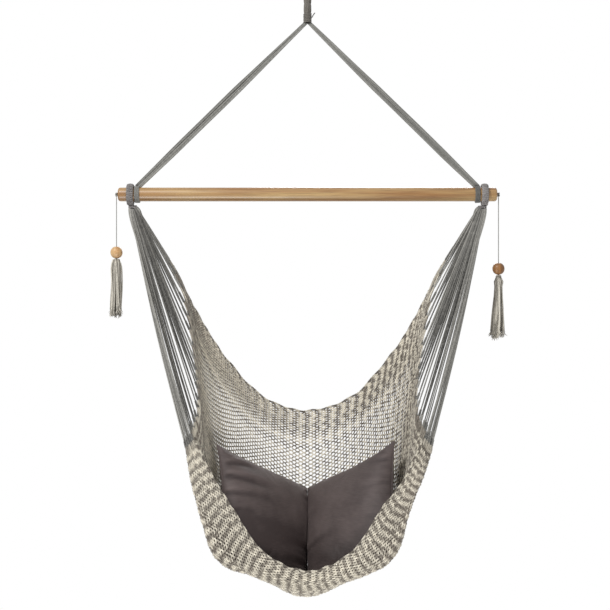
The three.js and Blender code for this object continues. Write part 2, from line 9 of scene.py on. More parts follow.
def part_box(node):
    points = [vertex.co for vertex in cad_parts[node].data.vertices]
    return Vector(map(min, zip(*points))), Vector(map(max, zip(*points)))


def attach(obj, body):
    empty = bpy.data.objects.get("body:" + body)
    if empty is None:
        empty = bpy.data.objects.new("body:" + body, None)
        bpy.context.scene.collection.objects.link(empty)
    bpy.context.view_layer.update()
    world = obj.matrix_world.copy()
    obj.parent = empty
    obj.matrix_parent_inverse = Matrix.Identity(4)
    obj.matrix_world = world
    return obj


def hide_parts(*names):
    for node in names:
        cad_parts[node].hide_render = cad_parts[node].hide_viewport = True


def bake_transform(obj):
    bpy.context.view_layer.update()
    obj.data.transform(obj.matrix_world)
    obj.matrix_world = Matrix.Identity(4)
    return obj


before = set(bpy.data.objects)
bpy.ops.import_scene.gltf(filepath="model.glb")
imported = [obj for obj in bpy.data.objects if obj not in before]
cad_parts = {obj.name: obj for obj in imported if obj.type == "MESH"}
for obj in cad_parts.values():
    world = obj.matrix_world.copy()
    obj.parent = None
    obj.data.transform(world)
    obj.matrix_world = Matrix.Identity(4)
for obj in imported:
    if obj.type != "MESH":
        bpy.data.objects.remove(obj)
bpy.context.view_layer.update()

rng = np.random.default_rng(7)

# Sizes and places, in metres. The origin is the hook, +Z is up and -Y is toward the viewer.
HANG_HEIGHT = 0.66  # from the hook down to the axis of the bar
SEAT_GAP = 0.0004

STRING_RADIUS = 0.0017
STRINGS_PER_SIDE = 84
STRINGS_PER_GROUP = 3
TASSEL_STRING_DIAMETER = 0.0026

NET_HALF_WIDTH = 0.4
NET_DEPTH = 0.25
NET_SET_BACK = 0.025
NET_DROP = 1.16
NET_CORD_RADIUS = 0.00185
NET_PITCH = 0.0056  # between neighbouring cords in the open middle of the net
NET_RIB = 0.0035  # from the grey hollows to the pale ribs of the front roll
NET_CELLS = 66  # along each cord
NET_STEPS_PER_CELL = 6
NET_SIDES = 5
DYE_LENGTH = 0.035  # of one pale and one grey stretch of the cord

CUSHION_SIDE = 0.338
CUSHION_THICKNESS = 0.104
CUSHION_FOOT = (0.003, -0.006, -1.80608)  # the spine edge's lower end, on the right side
CUSHION_UP = (0, 0.56492, 0.82514)
CUSHION_FOLD = 0.77
CUSHION_REST = (0, 0.00016, 0.00062)  # from there to where the cushion lies on the net
CUSHION_CORNER_PRESS = 0.03
CORNER_POWER = 8
CUSHION_SPINE_SWELL = 0.0027
CUSHION_EARS = {-1: (0.022, 0.004), 1: (0.009, 0.022)}  # how far each upper outer corner is drawn
CUSHION_SPINE_DROP = 0.009
OUTLINE_PULL_SHARE = 0.04
CROWN_POWER = 3
CROWN_SHARE = 0.55


def colour(red, green, blue):
    """A colour written as 0 to 255, as a shader takes it."""
    def linear(value):
        value /= 255
        return value / 12.92 if value <= 0.04045 else ((value + 0.055) / 1.055) ** 2.4
    return (linear(red), linear(green), linear(blue), 1.0)


def unit(vectors):
    vectors = np.asarray(vectors, float)
    return vectors / np.maximum(np.linalg.norm(vectors, axis=-1, keepdims=True), 1e-12)


def hump(values, middle, width):
    return np.exp(-((values - middle) / width) ** 2)


def directions(line):
    return unit(np.gradient(line, axis=0))


def run_along(line):
    """How far along a line each of its points lies."""
    return np.concatenate([[0], np.cumsum(np.linalg.norm(np.diff(line, axis=0), axis=1))])


def between(at, places, rows):
    """The points at the places `at`, between those that are given at `places`."""
    return np.stack([np.interp(at, places, rows[:, k]) for k in range(3)], axis=1)


def smooth_line(points, count, fine=24):
    """A smooth line through the points, at `count` places that are equally far apart."""
    points = np.asarray(points, float)
    p = np.concatenate([[2 * points[0] - points[1]], points, [2 * points[-1] - points[-2]]])
    gaps = np.linalg.norm(np.diff(p, axis=0), axis=1) ** 0.5
    t = np.linspace(0, 1, fine, endpoint=False)[:, None]
    stretches = []
    for i in range(1, len(p) - 2):
        before, start, end, after = p[i - 1:i + 3]
        a, b, c = gaps[i - 1:i + 2]
        leave = ((start - before) / a - (end - before) / (a + b) + (end - start) / b) * b
        arrive = ((end - start) / b - (after - start) / (b + c) + (after - end) / c) * b
        stretches.append(
            start
            + leave * t
            + (3 * (end - start) - 2 * leave - arrive) * t ** 2
            + (2 * (start - end) + leave + arrive) * t ** 3
        )
    line = np.concatenate(stretches + [points[-1:]])
    run = run_along(line)
    return between(np.linspace(0, run[-1], count), run, line)


# Materials

class Shader:
    """A material under construction. node() adds a node and sets its inputs from values or outputs."""

    def __init__(self, name):
        self.material = bpy.data.materials.new(name)
        self.material.use_nodes = True
        self.tree = self.material.node_tree
        self.surface = self.tree.nodes["Principled BSDF"]

    def node(self, kind, inputs=(), **settings):
        node = self.tree.nodes.new(kind)
        for key, value in settings.items():
            setattr(node, key, value)
        for key, value in dict(inputs).items():
            self.put(node, key, value)
        return node

    def put(self, node, key, value):
        socket = node.inputs[key]
        if isinstance(value, bpy.types.NodeSocket):
            self.tree.links.new(value, socket)
        else:
            socket.default_value = value

    def math(self, operation, *values):
        return self.node("ShaderNodeMath", enumerate(values), operation=operation).outputs[0]

    def place(self):
        """Where each point lies, in metres."""
        return self.node("ShaderNodeTexCoord").outputs["Object"]

    def attribute(self, name, output="Fac"):
        return self.node("ShaderNodeAttribute", attribute_name=name).outputs[output]

    def parts(self, vector):
        return self.node("ShaderNodeSeparateXYZ", {"Vector": vector}).outputs

    def stretched(self, vector, scale):
        return self.node("ShaderNodeMapping", {"Vector": vector, "Scale": scale}).outputs[0]

    def grey(self, value):
        inputs = dict.fromkeys(("Red", "Green", "Blue"), value)
        return self.node("ShaderNodeCombineColor", inputs).outputs[0]

    def mix(self, factor, first, second, blend="MIX"):
        node = self.node("ShaderNodeMix", data_type="RGBA", blend_type=blend)
        self.put(node, "Factor", factor)
        self.put(node, 6, first)
        self.put(node, 7, second)
        return node.outputs[2]

    def noise(self, vector, scale, detail=2.0, roughness=0.5):
        inputs = {"Vector": vector, "Scale": scale, "Detail": detail, "Roughness": roughness}
        return self.node("ShaderNodeTexNoise", inputs).outputs["Fac"]

    def ramp(self, factor, *stops):
        node = self.node("ShaderNodeValToRGB", {"Fac": factor})
        ramp = node.color_ramp
        ramp.elements[0].position, ramp.elements[0].color = stops[0]
        ramp.elements[1].position, ramp.elements[1].color = stops[-1]
        for place, shade in stops[1:-1]:
            ramp.elements.new(place).color = shade
        return node.outputs["Color"]

    def finish(self, base, roughness, height=None, depth=0.001, strength=1.0, **others):
        self.put(self.surface, "Base Color", base)
        self.put(self.surface, "Roughness", roughness)
        if height is not None:
            inputs = {"Height": height, "Distance": depth, "Strength": strength}
            bump = self.node("ShaderNodeBump", inputs)
            self.put(self.surface, "Normal", bump.outputs["Normal"])
        for key, value in others.items():
            self.put(self.surface, key.replace("_", " "), value)
        return self.material


def spun_cord(name, dark, light, lay, plies=3, dyed=None, groove_shade_share=0.75):
    """Twisted yarn. The mesh carries where each point lies round and along its strand."""
    s = Shader(name)
    part = s.parts(s.attribute("lie", "Vector"))
    tone = s.attribute("tone")
    angle = s.math("ARCTAN2", part["Y"], part["X"])
    turn = s.math("MULTIPLY_ADD", part["Z"], math.pi * plies / lay,
                  s.math("MULTIPLY", angle, plies / 2))
    ply = s.math("ABSOLUTE", s.math("SINE", turn))
    where = s.node("ShaderNodeCombineXYZ", {
        "X": s.math("MULTIPLY", part["X"], 0.3),
        "Y": s.math("MULTIPLY", part["Y"], 0.3),
        "Z": s.math("MULTIPLY_ADD", part["Z"], 120.0, s.math("MULTIPLY", tone, 40.0)),
    }).outputs[0]
    patch = s.noise(where, 0.6, 3.0)
    fibre = s.noise(where, 14.0, 2.0)
    if dyed is None:
        shade = s.math("ADD", s.math("MULTIPLY", tone, 0.55), s.math("MULTIPLY", patch, 0.5))
        base = s.ramp(shade, (0.1, dark), (0.9, light))
    else:
        blotch = s.math("MULTIPLY_ADD", s.math("SUBTRACT", patch, 0.5), 0.5, s.attribute("dye"))
        base = s.ramp(blotch, (0.25, dyed), (0.75, light))
        base = s.mix(1.0, base, s.grey(s.math("MULTIPLY_ADD", tone, 0.3, 0.85)), "MULTIPLY")
    # The grooves between the plies are painted darker, as painted shade
    painted_groove_shade = s.math("MULTIPLY_ADD", s.math("POWER", ply, 0.5), 0.55, 0.45)
    base = s.mix(groove_shade_share, base, s.grey(painted_groove_shade), "MULTIPLY")
    height = s.math("MULTIPLY_ADD", fibre, 0.25, ply)
    return s.finish(base, 0.92, height, depth=0.0005, strength=0.8,
                    Sheen_Weight=0.25, Sheen_Roughness=0.6, Specular_IOR_Level=0.2)


# How closely wood is patterned along X, Y and Z: its broad bands, and its fine lines
BAR_GRAIN = ((1.1, 26.0, 26.0), (9.0, 420.0, 420.0))
BEAD_GRAIN = ((34.0, 9.0, 9.0), (160.0, 40.0, 40.0))


def oiled_wood(name, pale, brown, line, rough=0.42, coat=0.35, grain=BAR_GRAIN):
    """Turned wood with grain along X, or with growth rings through a bead."""
    s = Shader(name)
    where = s.place()
    broad = s.noise(s.stretched(where, grain[0]), 2.4, 3.0, 0.55)
    fine = s.noise(s.stretched(where, grain[1]), 1.0, 4.0, 0.65)
    drift = s.noise(where, 3.5, 1.0)
    base = s.ramp(s.math("MULTIPLY_ADD", drift, 0.35, s.math("MULTIPLY", broad, 0.75)),
                  (0.38, pale), (0.66, brown))
    streak = s.ramp(fine, (0.3, line), (0.52, (1, 1, 1, 1)))
    base = s.mix(0.55, base, streak, "MULTIPLY")
    roughness = s.math("MULTIPLY_ADD", fine, 0.18, rough - 0.09)
    return s.finish(base, roughness, fine, depth=0.0004, strength=0.25,
                    Coat_Weight=coat, Coat_Roughness=0.28)


def satin_cloth(name, dark, light, weave=0.0011):
    """Tightly woven cover cloth. The weave is laid in the three directions of the row frame. It is
    painted darker where the mesh says the cover sank, as painted shade, and paler where it rose, as
    painted highlight.
    """
    s = Shader(name)
    where = s.place()
    part = s.parts(where)
    threads = []
    for along, across in (("X", "Z"), ("Z", "Y")):
        wave = s.math("SINE", s.math("MULTIPLY", part[along], 2 * math.pi / weave))
        weft = s.math("SINE", s.math("MULTIPLY", part[across], 2 * math.pi / weave))
        threads.append(s.math("MULTIPLY", wave, weft))
    thread = s.math("ADD", threads[0], threads[1])
    cloud = s.noise(where, 9.0, 3.0, 0.6)
    slub = s.noise(s.stretched(where, (40, 40, 400)), 1.0, 3.0)
    shade = s.math("ADD", s.math("MULTIPLY", cloud, 0.75), s.math("MULTIPLY", slub, 0.25))
    # Painted shade where the cover sinks in its creases and its low hollow, and painted highlight
    # where it rises
    shade = s.math("MULTIPLY_ADD", s.attribute("fold"), -0.35, shade)
    base = s.ramp(shade, (0.2, dark), (0.75, light))
    height = s.math("MULTIPLY_ADD", thread, 0.35, slub)
    return s.finish(base, 0.62, height, depth=0.00022, strength=0.35,
                    Sheen_Weight=0.2, Sheen_Roughness=0.4, Sheen_Tint=colour(190, 176, 172),
                    Specular_IOR_Level=0.35)


def moulded(name, base, rough):
    """Plain plastic with a faint uneven gloss."""
    s = Shader(name)
    speck = s.noise(s.place(), 900.0, 2.0)
    shade = s.ramp(speck, (0.2, tuple(0.8 * c for c in base[:3]) + (1,)), (0.8, base))
    roughness = s.math("MULTIPLY_ADD", speck, 0.2, rough - 0.1)
    return s.finish(shade, roughness, speck, depth=0.0001, strength=0.3)


GREY_CORD = spun_cord("grey cord", colour(80, 79, 76), colour(160, 159, 153), 0.03, plies=2,
                      groove_shade_share=0.35)
FAN_CORD = spun_cord("seat string cord", colour(34, 32, 30), colour(184, 182, 175), 0.03, plies=2,
                     groove_shade_share=0.35)
STEM_CORD = spun_cord("stem cord", colour(86, 82, 76), colour(134, 129, 121), 0.011)
BINDING_CORD = spun_cord("binding cord", colour(92, 88, 88), colour(206, 201, 198), 0.009)
# Its colour follows an attribute of the mesh that carries both the space-dyed stripes and painted
# shade
NET_CORD = spun_cord("space-dyed cord", colour(104, 96, 86), colour(235, 227, 209), 0.009,
                     dyed=colour(124, 115, 104))
TASSEL_CORD = spun_cord("tassel cord", colour(76, 69, 58), colour(228, 222, 208), 0.01,
                        groove_shade_share=0.45)
BAR_WOOD = oiled_wood("bar wood", colour(191, 159, 108), colour(150, 107, 60), colour(120, 80, 45))
PALE_WOOD = oiled_wood("pale bead wood", colour(222, 188, 138), colour(190, 145, 96),
                       colour(160, 112, 72), rough=0.52, coat=0.08, grain=BEAD_GRAIN)
DARK_WOOD = oiled_wood("dark bead wood", colour(180, 128, 72), colour(122, 82, 44),
                       colour(96, 58, 36), rough=0.48, coat=0.08, grain=BEAD_GRAIN)
COVER_CLOTH = satin_cloth("cushion cloth", colour(52, 43, 42), colour(96, 85, 83))
FILLING = satin_cloth("cushion filling", colour(214, 212, 204), colour(236, 234, 228), weave=0.002)
ZIP_PLASTIC = moulded("zip plastic", colour(52, 45, 44), rough=0.45)


# Meshes

class Strands:
    """Collects tubes that run along lines, and builds them as one mesh."""

    def __init__(self, sides=6):
        self.sides = sides
        self.points, self.quads, self.caps = [], [], []
        self.lie, self.tone, self.dye = [], [], []
        self.count = 0

    def add(self, centres, radius, across=None, tone=None, dye=None):
        """A tube along `centres`. `across` is a direction across the line, at each point or for all.
        A strand without a tone draws one."""
        centres = np.asarray(centres, float)
        steps = len(centres)
        tangent = directions(centres)
        across = carried(centres) if across is None else np.asarray(across, float)
        across = unit(across - tangent * np.sum(across * tangent, axis=1, keepdims=True))
        up = np.cross(tangent, across)
        angle = np.arange(self.sides) / self.sides * 2 * math.pi
        turn = np.stack([np.cos(angle), np.sin(angle)], axis=1)
        size = np.broadcast_to(np.asarray(radius, float), (steps,))[:, None, None]
        ring = turn[None, :, :1] * across[:, None] + turn[None, :, 1:] * up[:, None]
        self.points.append((centres[:, None] + size * ring).reshape(-1, 3))
        lie = np.empty((steps, self.sides, 3))
        lie[:, :, :2] = turn
        lie[:, :, 2] = run_along(centres)[:, None]
        self.lie.append(lie.reshape(-1, 3))
        tone = rng.random() if tone is None else tone
        self.tone.append(np.full(steps * self.sides, tone))
        dye = np.zeros(steps) if dye is None else dye
        self.dye.append(np.repeat(dye, self.sides))
        start = self.count + np.arange(self.sides)
        first = np.arange(steps - 1)[:, None] * self.sides + start
        second = np.roll(first, -1, axis=1)
        quads = np.stack([first, second, second + self.sides, first + self.sides], axis=-1)
        self.quads.append(quads.reshape(-1, 4))
        self.caps += [start[::-1], start + (steps - 1) * self.sides]
        self.count += steps * self.sides

    def build(self, name, material, body, *nodes):
        quads = np.concatenate(self.quads)
        corners = np.concatenate([quads.ravel()] + self.caps)
        starts = np.concatenate([
            np.arange(len(quads)) * 4,
            4 * len(quads) + np.arange(len(self.caps)) * self.sides,
        ])
        mesh = bpy.data.meshes.new(name)
        mesh.vertices.add(self.count)
        mesh.vertices.foreach_set("co", np.concatenate(self.points).astype(np.float32).ravel())
        mesh.loops.add(len(corners))
        mesh.loops.foreach_set("vertex_index", corners.astype(np.int32))
        mesh.polygons.add(len(starts))
        mesh.polygons.foreach_set("loop_start", starts.astype(np.int32))
        mesh.polygons.foreach_set("use_smooth", np.arange(len(starts)) < len(quads))
        mesh.update(calc_edges=True)
        for label, kind, field, rows in (
            ("lie", "FLOAT_VECTOR", "vector", self.lie),
            ("tone", "FLOAT", "value", self.tone),
            ("dye", "FLOAT", "value", self.dye),
        ):
            values = np.concatenate(rows).astype(np.float32).ravel()
            mesh.attributes.new(label, kind, "POINT").data.foreach_set(field, values)
        mesh.materials.append(material)
        return settle(mesh, name, body, *nodes)


def carried(line):
    """A direction square to a line, carried along it without twist."""
    tangent = directions(line)
    guide = np.array([0.0, 1.0, 0.0]) if abs(tangent[0][1]) < 0.8 else np.array([1.0, 0.0, 0.0])
    across = []
    for direction in tangent:
        guide = guide - direction * np.dot(guide, direction)
        guide = guide / max(np.linalg.norm(guide), 1e-12)
        across.append(guide)
    return np.array(across)


def placed(name, data):
    """A new object of the scene that shows a mesh, a curve, a lamp or a camera."""
    thing = bpy.data.objects.new(name, data)
    bpy.context.scene.collection.objects.link(thing)
    return thing


def settle(mesh, name, body, *nodes):
    """Puts a finished mesh in the scene, on its body and in place of its CAD nodes."""
    piece = placed(name, mesh)
    if nodes:
        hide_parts(*nodes)
    if body:
        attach(piece, body)
    return piece


def smooth_mesh(name, points, faces, material):
    mesh = bpy.data.meshes.new(name)
    mesh.from_pydata([tuple(p) for p in points], [], faces)
    mesh.polygons.foreach_set("use_smooth", np.ones(len(faces), bool))
    mesh.update()
    mesh.materials.append(material)
    return mesh


TURN_SPACING = 1.86  # between the turns of a wound cord, in cord radii
TURN_STEPS = 18


def wound(strands, axis, sideways, half_wide, half_deep, cord_radius, swell=(1, 1)):
    """Cord wound round an oval section that runs along `axis`, turn against turn."""
    turns = max(2, round(run_along(axis)[-1] / (TURN_SPACING * cord_radius)))
    share = np.linspace(0, 1, turns * TURN_STEPS)
    place = np.linspace(0, 1, len(axis))
    centre = between(share, place, axis)
    side = unit(between(share, place, np.broadcast_to(sideways, axis.shape)))
    deep = np.cross(directions(centre), side)
    angle = share * turns * 2 * math.pi
    cos, sin = np.cos(angle)[:, None], np.sin(angle)[:, None]
    wide, thick = half_wide - cord_radius, half_deep - cord_radius
    outward = unit(cos * side / max(wide, 1e-6) + sin * deep / max(thick, 1e-6))
    bulge = np.interp(share, np.linspace(0, 1, len(swell)), swell)[:, None]
    strands.add(centre + bulge * (wide * cos * side + thick * sin * deep), cord_radius, outward)


def twisted(strands, line, radius, plies, lay, dye=None):
    """A rope of several strands twisted round a line. Its last argument, where given, gives the
    stripes of its colour along its run.
    """
    across = carried(line)
    up = np.cross(directions(line), across)
    run = run_along(line)
    strand_radius = radius / 2.1
    for ply in range(plies):
        angle = (run / lay + ply / plies)[:, None] * 2 * math.pi
        out = np.cos(angle) * across + np.sin(angle) * up
        strands.add(line + (radius - strand_radius) * out, strand_radius, out,
                    dye=dye(run) if dye else None)


def turned_form(name, profile, centre, axis, material, body, *nodes, sides=64):
    """A form turned about an axis. Its profile is a list of (radius, place along the axis)."""
    axis = Vector(axis).normalized()
    side = axis.orthogonal().normalized()
    up = axis.cross(side)
    centre = Vector(centre)
    points, faces, rings = [], [], []
    for radius, place in profile:
        if radius <= 0:
            rings.append([len(points)] * sides)
            points.append(centre + axis * place)
            continue
        rings.append(range(len(points), len(points) + sides))
        for k in range(sides):
            angle = 2 * math.pi * k / sides
            outward = side * math.cos(angle) + up * math.sin(angle)
            points.append(centre + axis * place + outward * radius)
    for low, high in zip(rings, rings[1:]):
        for k in range(sides):
            n = (k + 1) % sides
            # A ring that is one point gives triangles.
            faces.append(tuple(dict.fromkeys([low[k], low[n], high[n], high[k]])))
    return settle(smooth_mesh(name, points, faces, material), name, body, *nodes)


# Places taken from the frame

def middle_of(node):
    low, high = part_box(node)
    return (low + high) / 2


bar_low, bar_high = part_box("spreader_bar")
BAR_HALF = bar_high.x
BAR_RADIUS = (bar_high.z - bar_low.z) / 2
BAR_AXIS = Vector((0, 0, -HANG_HEIGHT))
SIDES = (("left", -1), ("right", 1))

# Camera

VIEW_DISTANCE = 4.0
VIEW_HEIGHT = -0.98
VIEW_SHIFT = -0.0072
PICTURE_WIDTH = 1.766  # seen across the picture at the chair
camera_data = bpy.data.cameras.new("camera")
camera_data.lens = camera_data.sensor_width * VIEW_DISTANCE / PICTURE_WIDTH
camera = placed("camera", camera_data)
camera.location = (VIEW_SHIFT, -VIEW_DISTANCE, VIEW_HEIGHT)
camera.rotation_euler = (math.pi / 2, 0, 0)
bpy.context.scene.camera = camera


# The two free strings, which hang from the bar's ends to the tassels

STRING_STEPS = 15


def tassel_string(word):
    low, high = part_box(f"{word}_tassel_string")
    top = Vector(((low.x + high.x) / 2, 0, high.z))
    length = high.z - low.z
    line = bpy.data.curves.new(f"{word}_hanging_string", "CURVE")
    line.dimensions = "3D"
    line.bevel_depth = TASSEL_STRING_DIAMETER / 2
    line.bevel_resolution = 3
    line.use_fill_caps = True
    spline = line.splines.new("POLY")
    spline.points.add(STRING_STEPS)
    for step, point in enumerate(spline.points):
        point.co = (top.x, top.y, top.z - length * step / STRING_STEPS, 1)
    line.materials.append(STRING_LINE)
    piece = placed(f"{word}_hanging_string", line)
    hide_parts(f"{word}_tassel_string")
    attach(piece, f"{word}_tassel")


def hanging_line_material():
    """Thin twisted string. It runs straight down, so its twist follows the height."""
    s = Shader("hanging string")
    where = s.place()
    part = s.parts(where)
    slope = s.math("MULTIPLY_ADD", part["Y"], 1800.0, s.math("MULTIPLY", part["Z"], 1400.0))
    ply = s.math("ABSOLUTE", s.math("SINE", slope))
    fuzz = s.noise(where, 1500.0, 3.0)
    # The twist's grooves are painted darker and its plies paler, as painted shade, with fuzz mixed in
    shade = s.math("MULTIPLY_ADD", fuzz, 0.4, s.math("MULTIPLY", ply, 0.6))
    base = s.ramp(shade, (0.1, colour(112, 111, 108)), (0.8, colour(168, 167, 163)))
    return s.finish(base, 0.9, ply, depth=0.0003, strength=0.7, Sheen_Weight=0.2)


STRING_LINE = hanging_line_material()
for word, _ in SIDES:
    tassel_string(word)


# Hanging eye, stem and apex

EYE_ROPE_RADIUS = 0.006
EYE_FOOT_WIDTH = 0.0091
EYE_SIDE_WIDTH = 0.01955
EYE_OPENING_HEIGHT = 0.048
EYE_CORD_RADIUS = 0.0014
eye_side = [
    (EYE_SIDE_WIDTH, 0, -0.2 * EYE_OPENING_HEIGHT),
    (EYE_SIDE_WIDTH, 0, -0.6 * EYE_OPENING_HEIGHT),
    (EYE_FOOT_WIDTH, 0, -EYE_OPENING_HEIGHT - EYE_ROPE_RADIUS),
]
other_side = [(-x, y, z) for x, y, z in reversed(eye_side)]
eye_line = smooth_line([*other_side, (0, 0, EYE_ROPE_RADIUS), *eye_side], 60)
eye = Strands()
eye.add(eye_line, EYE_ROPE_RADIUS * 0.8, (0, 1, 0))
wound(eye, eye_line, (0, 1, 0), EYE_ROPE_RADIUS, EYE_ROPE_RADIUS, EYE_CORD_RADIUS)
eye_piece = eye.build("eye_whipping", STEM_CORD, "eye", "hanging_eye")


def round_binding(node, cord_radius, radius=None, share=1.0, swell=(1, 1)):
    """A binding of cord wound round an upright bundle, with a solid core. With a radius given, it is
    round and lies on the chair's middle line, whatever else its node holds."""
    low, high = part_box(node)
    half = (high - low) / 2
    x, y = 0, 0
    half_wide = half_deep = radius
    if radius is None:
        x, y = middle_of(node).xy
        half_wide, half_deep = half.x * share, half.y
    foot, top = (x, y, low.z + cord_radius), (x, y, high.z - cord_radius)
    strands = Strands()
    wound(strands, np.linspace(foot, top, 12), (1, 0, 0), half_wide, half_deep, cord_radius, swell)
    fill = min(half_wide, half_deep) - 1.3 * cord_radius
    for shift in np.linspace(half_deep - half_wide, half_wide - half_deep, 4):
        strands.add(np.linspace(foot, top, 4) + [shift, 0, 0], fill, (1, 0, 0))
    return strands


eye_binding = round_binding("eye_binding", cord_radius=0.0016)
piece = eye_binding.build("eye_binding_turns", STEM_CORD, "eye_neck", "eye_binding")

# The stem: a bundle of strands in two rings round a middle one, twisted slightly. It is built as an
# upper and a lower part.
stem_low, stem_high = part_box("stem_rope")
stem_radius = (stem_high.x - stem_low.x) / 2
STEM_STRAND_RADIUS = 0.0021
STEM_SPLIT = 0.36  # of the stem's length, from its top
STEM_RINGS = ((1.0, 14), (0.55, 8), (0.0, 1))  # each ring's share of the radius, and its strands
STEM_TWIST = 0.35  # from its top to its foot, in radians
STEM_PINCH = 0.12
stem_strands = [(share, 2 * math.pi * k / count, rng.random())
                for share, count in STEM_RINGS for k in range(count)]


def stem_part(name, first, last, nodes):
    """The stem's strands between two shares of its length."""
    strands = Strands()
    for ring_share, first_angle, tone in stem_strands:
        ring = ring_share * (stem_radius - STEM_STRAND_RADIUS)
        steps = np.linspace(first, last, 16)
        angle = first_angle + STEM_TWIST * steps
        pinch = 1 - STEM_PINCH * np.cos(steps * 2 * math.pi) ** 8
        line = np.stack([
            ring * pinch * np.cos(angle),
            ring * pinch * np.sin(angle),
            stem_high.z + (stem_low.z - stem_high.z) * steps,
        ], axis=1)
        strands.add(line, STEM_STRAND_RADIUS, tone=tone)
    piece = strands.build(name, STEM_CORD, None, *nodes)
    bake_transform(piece)


stem_part("upper_stem_strands", 0, STEM_SPLIT, ["stem_rope"])
stem_part("lower_stem_strands", STEM_SPLIT, 1, [])

APEX_RADIUS = 0.0125
apex_low, apex_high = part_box("apex_binding")
apex = round_binding("apex_binding", cord_radius=0.0022, radius=APEX_RADIUS)
tail = smooth_line([
    (0.006, -0.004, apex_low.z + 0.014),
    (0.0135, -0.008, apex_low.z + 0.018),
    (0.0165, -0.006, apex_low.z + 0.024),
    (0.0215, -0.005, apex_high.z + 0.0002),
], 14)
twisted(apex, tail, radius=0.002, plies=2, lay=0.008)
piece = apex.build("apex_turns", STEM_CORD, "yoke", "apex_binding")

# Legs, their wraps on the bar, and the knots at its ends

LEG_STRAND_RADIUS = 0.0016
LEG_STRANDS_ACROSS = 9
LEG_WIDTH = 0.0205
LEG_LAYER = 0.0021  # from the leg's middle to each of its two layers
LEG_WAVE = 0.0008  # of each strand, fore and aft
LEG_TOP_OFFSET = (0.003, 0.005)  # outward and up, from the chair's middle line and the leg's box
WRAP_CORD_RADIUS = 0.00185
INNER_WRAP_CORD_RADIUS = 0.0014
INNER_WRAP_MARGIN = 0.0012
KNOT_CORD_RADIUS = 0.0019
KNOT_RADIUS = 0.0052
KNOT_HALF_LENGTH = 0.0018


def suspension_leg(word, side):
    """Two layers of strands from the apex to the bar, loosely side by side."""
    outward, upward = LEG_TOP_OFFSET
    top = np.array([side * outward, 0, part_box(f"{word}_suspension_leg")[1].z + upward])
    wrap = middle_of(f"{word}_leg_wrap")
    foot = np.array([wrap.x + side * 0.001, 0, BAR_AXIS.z + BAR_RADIUS + 0.0005])
    flat = np.cross(unit(foot - top), [0, 1, 0])
    strands = Strands()
    share = np.linspace(0, 1, 40)[:, None]
    for layer in (-1, 1):
        for k in range(LEG_STRANDS_ACROSS):
            place = (k - (LEG_STRANDS_ACROSS - 1) / 2) / LEG_STRANDS_ACROSS
            wander = rng.normal(0, 0.0006, 3) * np.sin(share * math.pi)
            bunch = np.interp(share, [0, 0.06, 0.4, 0.8, 1], [0.4, 0.5, 1.08, 1.04, 0.74])
            if side > 0:
                bunch = bunch * (1 + 0.06 * np.sin(share * 9 + k))
            depth = layer * LEG_LAYER + LEG_WAVE * np.sin(share * 24 + k)
            line = top + (foot - top) * share + flat * place * LEG_WIDTH * bunch
            strands.add(line + wander + depth * [0, 1, 0], LEG_STRAND_RADIUS)
    piece = strands.build(f"{word}_leg_cords", GREY_CORD, "yoke", f"{word}_suspension_leg")


def bar_wrap(word):
    """The turns of a leg's cord round the bar, over a thinner layer that hides the gaps."""
    low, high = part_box(f"{word}_leg_wrap")
    outer = (high.z - low.z) / 2
    inner = BAR_RADIUS + SEAT_GAP + 2 * INNER_WRAP_CORD_RADIUS
    strands = Strands()
    for radius, cord, margin in (
        (outer, WRAP_CORD_RADIUS, WRAP_CORD_RADIUS),
        (inner, INNER_WRAP_CORD_RADIUS, INNER_WRAP_MARGIN),
    ):
        axis = np.linspace((low.x + margin, 0, BAR_AXIS.z), (high.x - margin, 0, BAR_AXIS.z), 12)
        wound(strands, axis, (0, 0, 1), radius, radius, cord)
    piece = strands.build(f"{word}_wrap_turns", GREY_CORD, "yoke", f"{word}_leg_wrap")


def end_knot(word):
    """A small overhand knot at the bar's end, where the tassel's string is tied on."""
    t = np.linspace(0, 2 * math.pi, 73)
    line = np.stack([
        np.sin(3 * t) * KNOT_HALF_LENGTH,
        (np.sin(t) + 2 * np.sin(2 * t)) / 3 * KNOT_RADIUS,
        (np.cos(t) - 2 * np.cos(2 * t)) / 3 * KNOT_RADIUS,
    ], axis=1) + np.array(middle_of(f"{word}_bar_knot"))
    strands = Strands(8)
    strands.add(line, KNOT_CORD_RADIUS)
    piece = strands.build(f"{word}_end_knot", GREY_CORD, "yoke", f"{word}_bar_knot")


for word, side in SIDES:
    suspension_leg(word, side)
    bar_wrap(word)
    end_knot(word)

BAR_END_ROUND = 0.007
bar_profile = [(0, -BAR_HALF)]
for angle in np.linspace(0, math.pi / 2, 9):
    bar_profile.append((
        BAR_RADIUS - BAR_END_ROUND * (1 - math.sin(angle)),
        -BAR_HALF + BAR_END_ROUND * (1 - math.cos(angle)),
    ))
bar_profile += [(radius, -place) for radius, place in reversed(bar_profile)]
bar = turned_form("turned_bar", bar_profile, BAR_AXIS, (1, 0, 0), BAR_WOOD, "yoke", "spreader_bar",
                  sides=96)


# Beads and tassels

BEAD_BORE_RADIUS = 0.0022
BEAD_FLAT = 0.0012  # round the bore's mouth
BEAD_DISH = 0.001  # from the flat down into the bore
BEAD_LAST_ANGLE = 0.93 * math.pi / 2
BEAD_FULLNESS = 0.82
HEAD_CORD_RADIUS = 0.0012
HEAD_WRAP_TOP = 0.0066
HEAD_CORDS = 18
SKIRT_STRANDS = 40
SKIRT_STRAND_RADIUS = 0.0019
GOLDEN_ANGLE = 2.39996  # from one strand to the next, so that they fill the round
FRAYED_HAIRS = 5  # at the end of each strand


